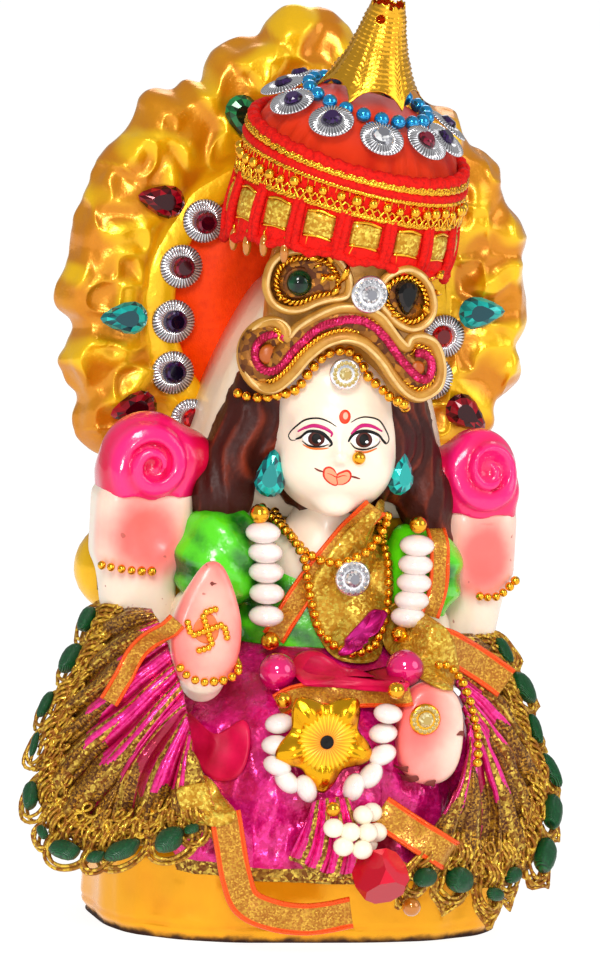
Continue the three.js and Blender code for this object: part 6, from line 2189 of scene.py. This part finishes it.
def crown_trims():
    """The corded ornament over the brow, and its stones."""
    yield "brow_cord_band", "crown_cord_lower", "gold_cord", corded_crown_band()
    yield "brow_cord_eyes", "crown_cord_upper", "gold_cord", corded_crown_eyes()
    cabochon = lathe([(2.7, 0), (2.7, 0.8), (2.4, 1.7), (1.7, 2.4), (0.8, 2.7), (0.1, 2.75)], 32)
    seat = lathe([(3.3, 0), (3.4, 0.6), (3.0, 0.9), (2.5, 0.7), (0.1, 0.7)], 32)
    yield "brow_cabochon", "crown_stone_left", "dark_crystal", [
        ("cabochon", mounted(cabochon, -11.8, 138.9, 0, 0.3)),
        ("brown_filling", mounted(seat, -11.8, 138.9, 0)),
    ]
    drop = cut_stone(drop_outline(2.7, 7.6), 0.55, 2.4)
    yield "brow_drop", "crown_stone_right", "dark_crystal", [
        ("black_gem", mounted(drop, 9.9, 137.0, 0, 0.3, 180)),
    ]
    stone = mounted_rhinestone(3.9, 1.6, 137.6, 2.5)
    yield "brow_rhinestone", "crown_rhinestone", "clear_crystal", stone


def head_trims(bead):
    """The string and the stone on the forehead, the nose bead and the ear drops."""
    row = bead_row(FOREHEAD, bead * 1.12, 2.2, tighten=10)
    yield "forehead_bead_row", "forehead_beads", "gold_foil", [("gold", row)]
    seat, stones = rhinestone(3.3, 0.42)
    place = (-1.9, brow_depth(-1.9) + 1.2, 120.5)
    yield "forehead_rhinestone", "forehead_stone", "clear_crystal", [
        ("silver", facing(seat, place)), ("citrine_gem", facing(stones, place)),
    ]
    nose = seated(ball(1.45, 16).moved((4.4, -13.6, -0.7)), HEAD)
    yield "nose_ball", "nose_bead", "gold_foil", [("gold", nose)]
    for side, place, turn, lean in (
        ("left", (-13.9, -16.5, 98.1), 6, -0.35), ("right", (13.6, -17, 98.9), -4, 0.35)
    ):
        stone = cut_stone(drop_outline(3.3, 10.2), 0.5, 2.6)
        stone = facing(stone, place, (lean, -1, 0), turn)
        yield f"ear_drop_{side}_cut", f"ear_drop_{side}", "teal_crystal", [("teal_gem", stone)]


def figure_trims(bead):
    """The chains, the bracelets, and what lies on the chest and in the palms."""
    for name, places in NECK_CHAINS:
        yield name + "_beads", name, "gold_foil", [("gold", bead_row(places, bead, 2.05, tighten=14))]
    leaf = [
        (9.6, 69.0), (12.2, 69.2), (11.8, 67.6), (9.4, 64.9), (5.9, 62.4), (1.9, 60.6), (0.9, 61.4),
        (5.6, 66.2)
    ]
    yield "chest_leaf", "chest_cloth", "magenta_foil", [
        ("bright_foil", laid_patch(leaf, 0.5, crumple=0.2, seed=51)),
    ]
    yield "chest_rhinestone", "chest_stone", "clear_crystal", mounted_rhinestone(3.8, 4.0, 76.4, 3.4)
    for name, (places, tighten) in BRACELETS.items():
        row = bead_row(places, bead * 0.95, 2.0, tighten)
        yield name + "_beads", name, "gold_foil", [("gold", row)]
    dab = [
        (-33.9, 68.2), (-32.4, 70.4), (-30.0, 70.8), (-28.6, 68.4), (-28.9, 65.8), (-31.0, 64.8),
        (-33.2, 65.8)
    ]
    yield "palm_dab", "painted_idol", "painted_plaster", [("dab", laid_patch(dab, 0.12, 0.3, 0.05, 52))]
    worn = []
    for x, z, size in (
        (10.9, 39.8, 1.0), (12.6, 37.7, 1.5), (16.9, 36.8, 1.2), (22.8, 47.4, 0.9), (-30.0, 77.2, 0.6)
    ):
        turn = full_turn(7)
        reach = size * (1 + 0.35 * np.sin(turn * 3 + x))
        spot = ringed(reach, 0.6 * reach, turn, 0)[:, :2] + [x, z]
        worn.append(laid_patch(spot, 0.1, 0.3, 0.0, 54, rings=3))
    yield "worn_spots", "painted_idol", "painted_plaster", [("worn", joined(worn))]
    yield "palm_mark_beads", "palm_mark", "gold_foil", [("gold", auspicious_mark((-31.0, 67.7)))]
    stone = mounted_rhinestone(3.3, 14.6, 50.5, 2, "gold", "citrine_gem")
    yield "palm_rhinestone", "palm_stone", "clear_crystal", stone


def garland_trims(pearl):
    """The white beads of the garland and the pink pearls under it."""
    for side, centres, tips in (
        ("left", ((-16.0, 85.9), (-15.2, 81.7), (-14.8, 77.5), (-14.4, 73.0), (-14.2, 68.2)),
         ((-17.0, 89.9, 2.1), (-13.0, 62.8, 2.0))),
        ("right", ((17.9, 83.4), (17.7, 79.4), (17.5, 75.6), (17.1, 71.9), (16.4, 68.4)),
         ((18.0, 87.8, 1.9), (14.6, 64.7, 1.8))),
    ):
        depths = [front(x, z, 2) - 2.8 for x, z in centres]
        slope, start = np.polyfit(range(4), depths[:4], 1)
        white = [
            ball(3.75, 20, 0.62).moved((x, start + slope * i, z)) for i, (x, z) in enumerate(centres)
        ]
        gold = [
            ball(radius, 16).moved((x, start + slope * i, z)) for i, (x, z, radius) in zip((-1, 5), tips)
        ]
        yield f"garland_{side}_beads", f"garland_{side}", "milk_bead", [
            ("milk", joined(white)), ("gold", joined(gold)),
        ]
    left_pearl = bead_on(pearl, -13.4, 57.6, 1.5, sides=32)
    right_pearl = ball(pearl, 32).moved((12.3, -34.0, 59.7))
    for side, form, low in (("left", left_pearl, (-13.8, 53.0)), ("right", right_pearl, (7.4, 56.9))):
        yield f"pearl_{side}", f"pink_pearl_{side}", "pink_pearl", [("pearl", form)]
        yield f"pearl_{side}_end", f"pink_pearl_{side}", "gold_foil", [("gold", bead_on(1.8, *low))]
    white = []
    for x, z, turn in (
        (-14.9, 48.3, 12), (-15.9, 44.1, 4), (-15.8, 40.0, -18), (-13.6, 36.8, -46), (-9.6, 35.4, -66),
        (0.1, 36.0, 70), (3.8, 38.4, 52), (6.4, 42.6, 26), (6.6, 47.0, 8), (7.0, 51.4, -4),
    ):
        axis = np.array([-math.sin(math.radians(turn)), 0, math.cos(math.radians(turn))])
        place = (x, front(x, z, 1.6) - 2.3, z)
        white.append(ball(3.1, 18, 0.68).moved(place, np.cross((0, -1, 0), axis), (0, -1, 0), axis))
    yield "garland_lower_beads", "garland_lower", "milk_bead", [("milk", joined(white))]


def flower_trims():
    """The gold flower, and the beads that hang below it."""
    star, disc = petal_star(10.9)
    heart = lathe([(1.5, 0), (1.4, 0.3), (0.8, 0.2), (0.1, 0.0)], 20)
    at = np.array([-6.3, min(front(-6.3, 45.6, 5), front(-6.3, 45.6, 8)) - 0.6, 45.6])
    yield "star_petals", "star_flower", "gold_foil", [
        ("star", facing(star, at)), ("disc_heart", facing(disc, at)),
        ("ink", facing(heart, at - [0, 2.7, 0])),
    ]
    yield "star_end_bead", "star_flower", "gold_foil", [("gold", bead_on(1.6, -5.6, 32.4))]
    cluster = [
        bead_on(2.2, x, z, 1.0, 0.92)
        for x, z in (
            (-5.8, 28.8), (-2.3, 28.0), (0.9, 31.2), (4.3, 30.8), (-3.6, 25.0), (1.6, 27.8), (5.2, 26.8),
            (0.4, 24.4), (3.6, 24.2),
        )
    ]
    yield "cream_cluster", "bead_cluster", "milk_bead", [("cream", joined(cluster))]
    corners = [np.array((x, y, z)) * 4.1 for x in (-1, 1) for y in (-1, 1) for z in (-1, 1)]
    cube = hull_of([np.where(np.arange(3) == k, c * 0.42, c) for c in corners for k in range(3)])
    place = (5.0, front(5.0, 18, 4) - 3.4, 18.6)
    yield "cut_bead_stone", "cut_bead", "pink_pearl", [("pink_gem", cube.moved(place, *turn_of(24, 30, 40)))]
    yield "hem_drop", "hem_pearl", "milk_bead", [("amber", ball(2.0, 16).moved((12.7, -46.5, 11.6)))]


def make_trims(sizes):
    """Every small piece, in the order it was put on: its name, CAD node, slot and parts."""
    yield from crown_trims()
    yield from head_trims(sizes.seed_bead)
    yield from figure_trims(sizes.seed_bead)
    yield from garland_trims(sizes.pink_pearl)
    yield from flower_trims()


# Stage


def make_stage():
    """The pale floor, the soft lights and the camera at the photograph's angle."""
    scene = bpy.context.scene
    floor = bpy.data.meshes.new("floor")
    size = 3.0
    corners = [(-size, -size, 0), (size, -size, 0), (size, size, 0), (-size, size, 0)]
    floor.from_pydata(corners, [], [(0, 1, 2, 3)])
    paper = Finish("floor_paper", Base_Color=(0.2, 0.2, 0.2), Roughness=0.9, Specular_IOR_Level=0.1)
    floor.materials.append(paper.set(Emission_Color=(1, 1, 1), Emission_Strength=0.92).material)
    ground = bpy.data.objects.new("floor", floor)
    scene.collection.objects.link(ground)

    turn, height, roll = (math.radians(v) for v in (CAMERA["turn"], CAMERA["height"], CAMERA["roll"]))
    right = np.array([math.cos(turn), math.sin(turn), 0])
    back = np.array([math.sin(turn) * math.cos(height), -math.cos(turn) * math.cos(height), math.sin(height)])
    up = np.cross(back, right)
    leaned = right * math.cos(roll) + up * math.sin(roll)
    upright = up * math.cos(roll) - right * math.sin(roll)
    aim = CAMERA["across"] * leaned + CAMERA["up"] * upright + CAMERA["near"] * back
    place = (aim + back * CAMERA["distance"]) * MM
    camera = bpy.data.cameras.new("camera")
    camera.sensor_fit = "VERTICAL"
    camera.sensor_height = 36
    camera.lens = CAMERA["lens"]
    viewer = bpy.data.objects.new("camera", camera)
    columns = [leaned, upright, back, place]
    viewer.matrix_world = Matrix(
        [[*(column[row] for column in columns)] for row in range(3)] + [[0, 0, 0, 1]]
    )
    scene.collection.objects.link(viewer)
    scene.camera = viewer

    world = bpy.data.worlds.new("studio")
    world.use_nodes = True
    tree = world.node_tree
    seen = wire(tree, "ShaderNodeLightPath").outputs["Is Camera Ray"]
    inputs = {"Color": (1, 1, 1), "Strength": ramped(tree, seen, 0, 1, 0.42, 1.05)}
    background = wire(tree, "ShaderNodeBackground", inputs)
    tree.links.new(background.outputs[0], tree.nodes["World Output"].inputs["Surface"])
    scene.world = world
    for name, (x, y, z), size, power, colour in LIGHTS:
        lamp = bpy.data.lights.new(name, "AREA")
        lamp.shape = "DISK"
        lamp.size, lamp.energy, lamp.color = size, power, colour
        item = bpy.data.objects.new(name, lamp)
        item.location = (x, y, z)
        aim_at = Vector((0, 0, 0.1)) - item.location
        item.rotation_euler = aim_at.to_track_quat("-Z", "Y").to_euler()
        scene.collection.objects.link(item)
    scene.view_settings.view_transform = "Standard"


CAMERA = {
    "turn": -16, "height": 8, "roll": 3, "across": 2.13, "up": 93.4, "near": 8.0,
    "distance": 1500.0, "lens": 264.8,
}
LIGHTS = (
    ("key_light", (-0.35, -0.9, 0.75), 0.35, 6.5, (1.0, 0.98, 0.95)),
    ("fill_light", (0.8, -0.6, 0.5), 0.7, 2.6, (1.0, 1.0, 1.0)),
    ("flash", (-0.3, -1.15, 0.28), 0.08, 2.6, (1.0, 1.0, 1.0)),
    ("back_light", (0.3, 0.9, 0.8), 0.6, 2.0, (1.0, 1.0, 1.0)),
)


# Operators


class IDOL_OT_casting(bpy.types.Operator):
    """Make the painted casting: plinth, throne, arch and figure"""

    bl_idname = "idol.casting"
    bl_label = "Casting"

    def execute(self, context):
        sizes = context.scene.idol_sizes
        parts = (
            ("plinth", make_plinth(sizes), "plinth"),
            ("arch_relief", make_arch(sizes), "paint"),
            ("arch_band", make_arch_band(), "paint"),
            ("halo_field", make_halo_field(), "halo"),
            ("throne_back", make_throne_back(), "paint"),
            ("lap_form", make_lap(), "hood"),
            ("blouse", make_blouse(), "blouse"),
            ("neck", make_neck(), "skin"),
            ("arm_left", make_arm(-1), "palm"),
            ("arm_right", make_arm(1), "palm"),
            ("lotus_left", make_lotus(-1), "lotus"),
            ("lotus_right", make_lotus(1), "lotus"),
            ("hand_blessing", make_blessing_hand(), "palm"),
            ("hand_giving", make_giving_hand(), "palm"),
            ("hood", make_hood(), "hood"),
            ("hair", make_hair(), "hair"),
            ("crown_core", make_crown_core(), "cord"),
            ("face", seated(make_face(), HEAD), "skin"),
        )
        for name, form, finish in parts:
            add_piece(name, [(finish, form)], "painted_idol", "painted_plaster", carries=True)
        features = [(paint, seated(form, HEAD)) for paint, form in paint_features()]
        add_piece("face_features", features, "painted_idol", "painted_plaster")
        return {"FINISHED"}


class IDOL_OT_cap(bpy.types.Operator):
    """Make the stuffed cap with its lace, beads, discs and foil finial"""

    bl_idname = "idol.cap"
    bl_label = "Cap"

    def execute(self, context):
        sizes = context.scene.idol_sizes
        dome = add_piece(
            "cap_dome_satin", [("satin", make_cap_dome())], "cap_dome", "red_satin", carries=True
        )
        lace = make_cap_lace()
        band = add_piece("cap_lace_band", [("velvet", lace["band"])], "cap_lace", "red_satin")
        trim = [("velvet", lace["velvet"]), ("gold", lace["gold"]), ("gold", lace["beads"])]
        trim += [("brocade", lace["woven"]), ("amber", lace["amber"])]
        add_piece("cap_lace_threads", trim, "cap_lace", "gold_lace")
        add_piece("finial_foil", [("gold_foil", make_finial())], "cap_finial", "gold_foil")
        ring = cap_point(np.arange(120) * 3, 12.9, CAP["top"] - 0.4)
        beads = strung(ring, ball(sizes.blue_bead, 14), sizes.blue_bead * 2.5, True)
        add_piece("cap_bead_ring", [("blue", beads)], "cap_blue_beads", "blue_beads")
        discs, stones = cap_disc_row(sizes.disc)
        add_piece("cap_discs", [("silver", discs), *stones], "cap_mirrors", "silver_discs")
        return {"FINISHED"}


class IDOL_OT_arch_trim(bpy.types.Operator):
    """Make the fluted discs and the drop-shaped stones on the arch"""

    bl_idname = "idol.arch_trim"
    bl_label = "Arch discs and stones"

    def execute(self, context):
        sizes = context.scene.idol_sizes
        discs, stones = arch_disc_row(sizes.disc)
        add_piece("arch_discs", [("silver", discs), *stones], "arch_mirrors", "silver_discs")
        for node, x, z, turn, gem_name in ARCH_STONES:
            stone = cut_stone(drop_outline(3.6, 10.4), 0.5, 2.6)
            place = (x, front(x, z, 2.5, among=ARCH_CARRIERS) + 0.1, z)
            stone = facing(stone, place, turn=turn)
            add_piece(node + "_cut", [(gem_name, stone)], node, STONE_SLOTS[gem_name])
        return {"FINISHED"}


class IDOL_OT_cloth(bpy.types.Operator):
    """Make the skirt: lap cloth, pleated sides, lace and ribbons"""

    bl_idname = "idol.cloth"
    bl_label = "Skirt and lace"

    def execute(self, context):
        points, finish, tone = make_lap_cloth()
        lap = add_piece(
            "lap_foil", [zoned(points, 0.5, finish, tone)], "lap_cloth", "magenta_foil", carries=True
        )
        for side, name, fan in ((-1, "left", LEFT_FAN), (1, "right", RIGHT_FAN)):
            points, finish, tone = make_fan(fan, side)
            parts = [zoned(points, 0.5, finish, tone)]
            cloth = add_piece(f"fan_{name}_cloth", parts, f"fan_{name}", "magenta_foil", carries=True)
            net, threads, barrels = make_lace(fan, side)
            netting = add_piece(
                f"lace_{name}_net", [("lace_net", net)], f"lace_{name}", "gold_lace", carries=True
            )
            parts = [("lace", threads), ("barrel", barrels)]
            add_piece(f"lace_{name}_threads", parts, f"lace_{name}", "gold_lace")
        points, fold, reach = pleated(FRONT_PLEATS, 4, 2.4, 40, 110, 88)
        finish = np.full((39, 109), "foil", dtype=object)
        finish[(fold[:-1, :-1] > 0.36) | (reach[:-1, :-1] > 0.93)] = "glitter"
        # Painted shade: the tone is high in the valleys of the pleats.
        bundle = zoned(points, 0.5, finish, blend_step(-fold, 0.0, 0.5) * 0.9)
        piece = add_piece("front_bundle", [bundle], "front_pleats", "magenta_foil", carries=True)
        for name, node, places, width, farthest in RIBBONS:
            add_piece(name, [("gauze", make_ribbon(places, width, farthest))], node, "gauze", carries=True)
        for name, node, finish, outline, lift in PATCHES:
            add_piece(name, [(finish, laid_patch(outline, lift))], node, "magenta_foil", carries=True)
        return {"FINISHED"}


class IDOL_OT_trims(bpy.types.Operator):
    """Make the cords, beads and stones on the figure"""

    bl_idname = "idol.trims"
    bl_label = "Beads and stones"

    def execute(self, context):
        sizes = context.scene.idol_sizes
        for name, node, slot, parts in make_trims(sizes):
            add_piece(name, parts, node, slot, carries=True)
        return {"FINISHED"}


class IDOL_OT_stage(bpy.types.Operator):
    """Set the floor, the lights and the camera"""

    bl_idname = "idol.stage"
    bl_label = "Stage"

    def execute(self, context):
        make_stage()
        return {"FINISHED"}


OPERATORS = (IDOL_OT_casting, IDOL_OT_cap, IDOL_OT_arch_trim, IDOL_OT_cloth, IDOL_OT_trims, IDOL_OT_stage)


class IDOL_PT_panel(bpy.types.Panel):
    bl_idname = "IDOL_PT_panel"
    bl_label = "Dressed idol"
    bl_space_type = "VIEW_3D"
    bl_region_type = "UI"
    bl_category = "Idol"

    def draw(self, context):
        for group in (context.scene.idol_sizes, context.scene.idol_colours):
            box = self.layout.box()
            for name in group.__annotations__:
                box.prop(group, name)
        for operator in OPERATORS:
            self.layout.operator(operator.bl_idname)


CLASSES = (IdolColours, IdolSizes, *OPERATORS, IDOL_PT_panel)


def register():
    for item in CLASSES:
        bpy.utils.register_class(item)
    bpy.types.Scene.idol_sizes = bpy.props.PointerProperty(type=IdolSizes)
    bpy.types.Scene.idol_colours = bpy.props.PointerProperty(type=IdolColours)


def unregister():
    del bpy.types.Scene.idol_colours
    del bpy.types.Scene.idol_sizes
    for item in reversed(CLASSES):
        bpy.utils.unregister_class(item)


def main():
    register()
    for operator in OPERATORS:
        group, name = operator.bl_idname.split(".")
        getattr(getattr(bpy.ops, group), name)()
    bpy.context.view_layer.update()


if __name__ == "__main__":
    main()
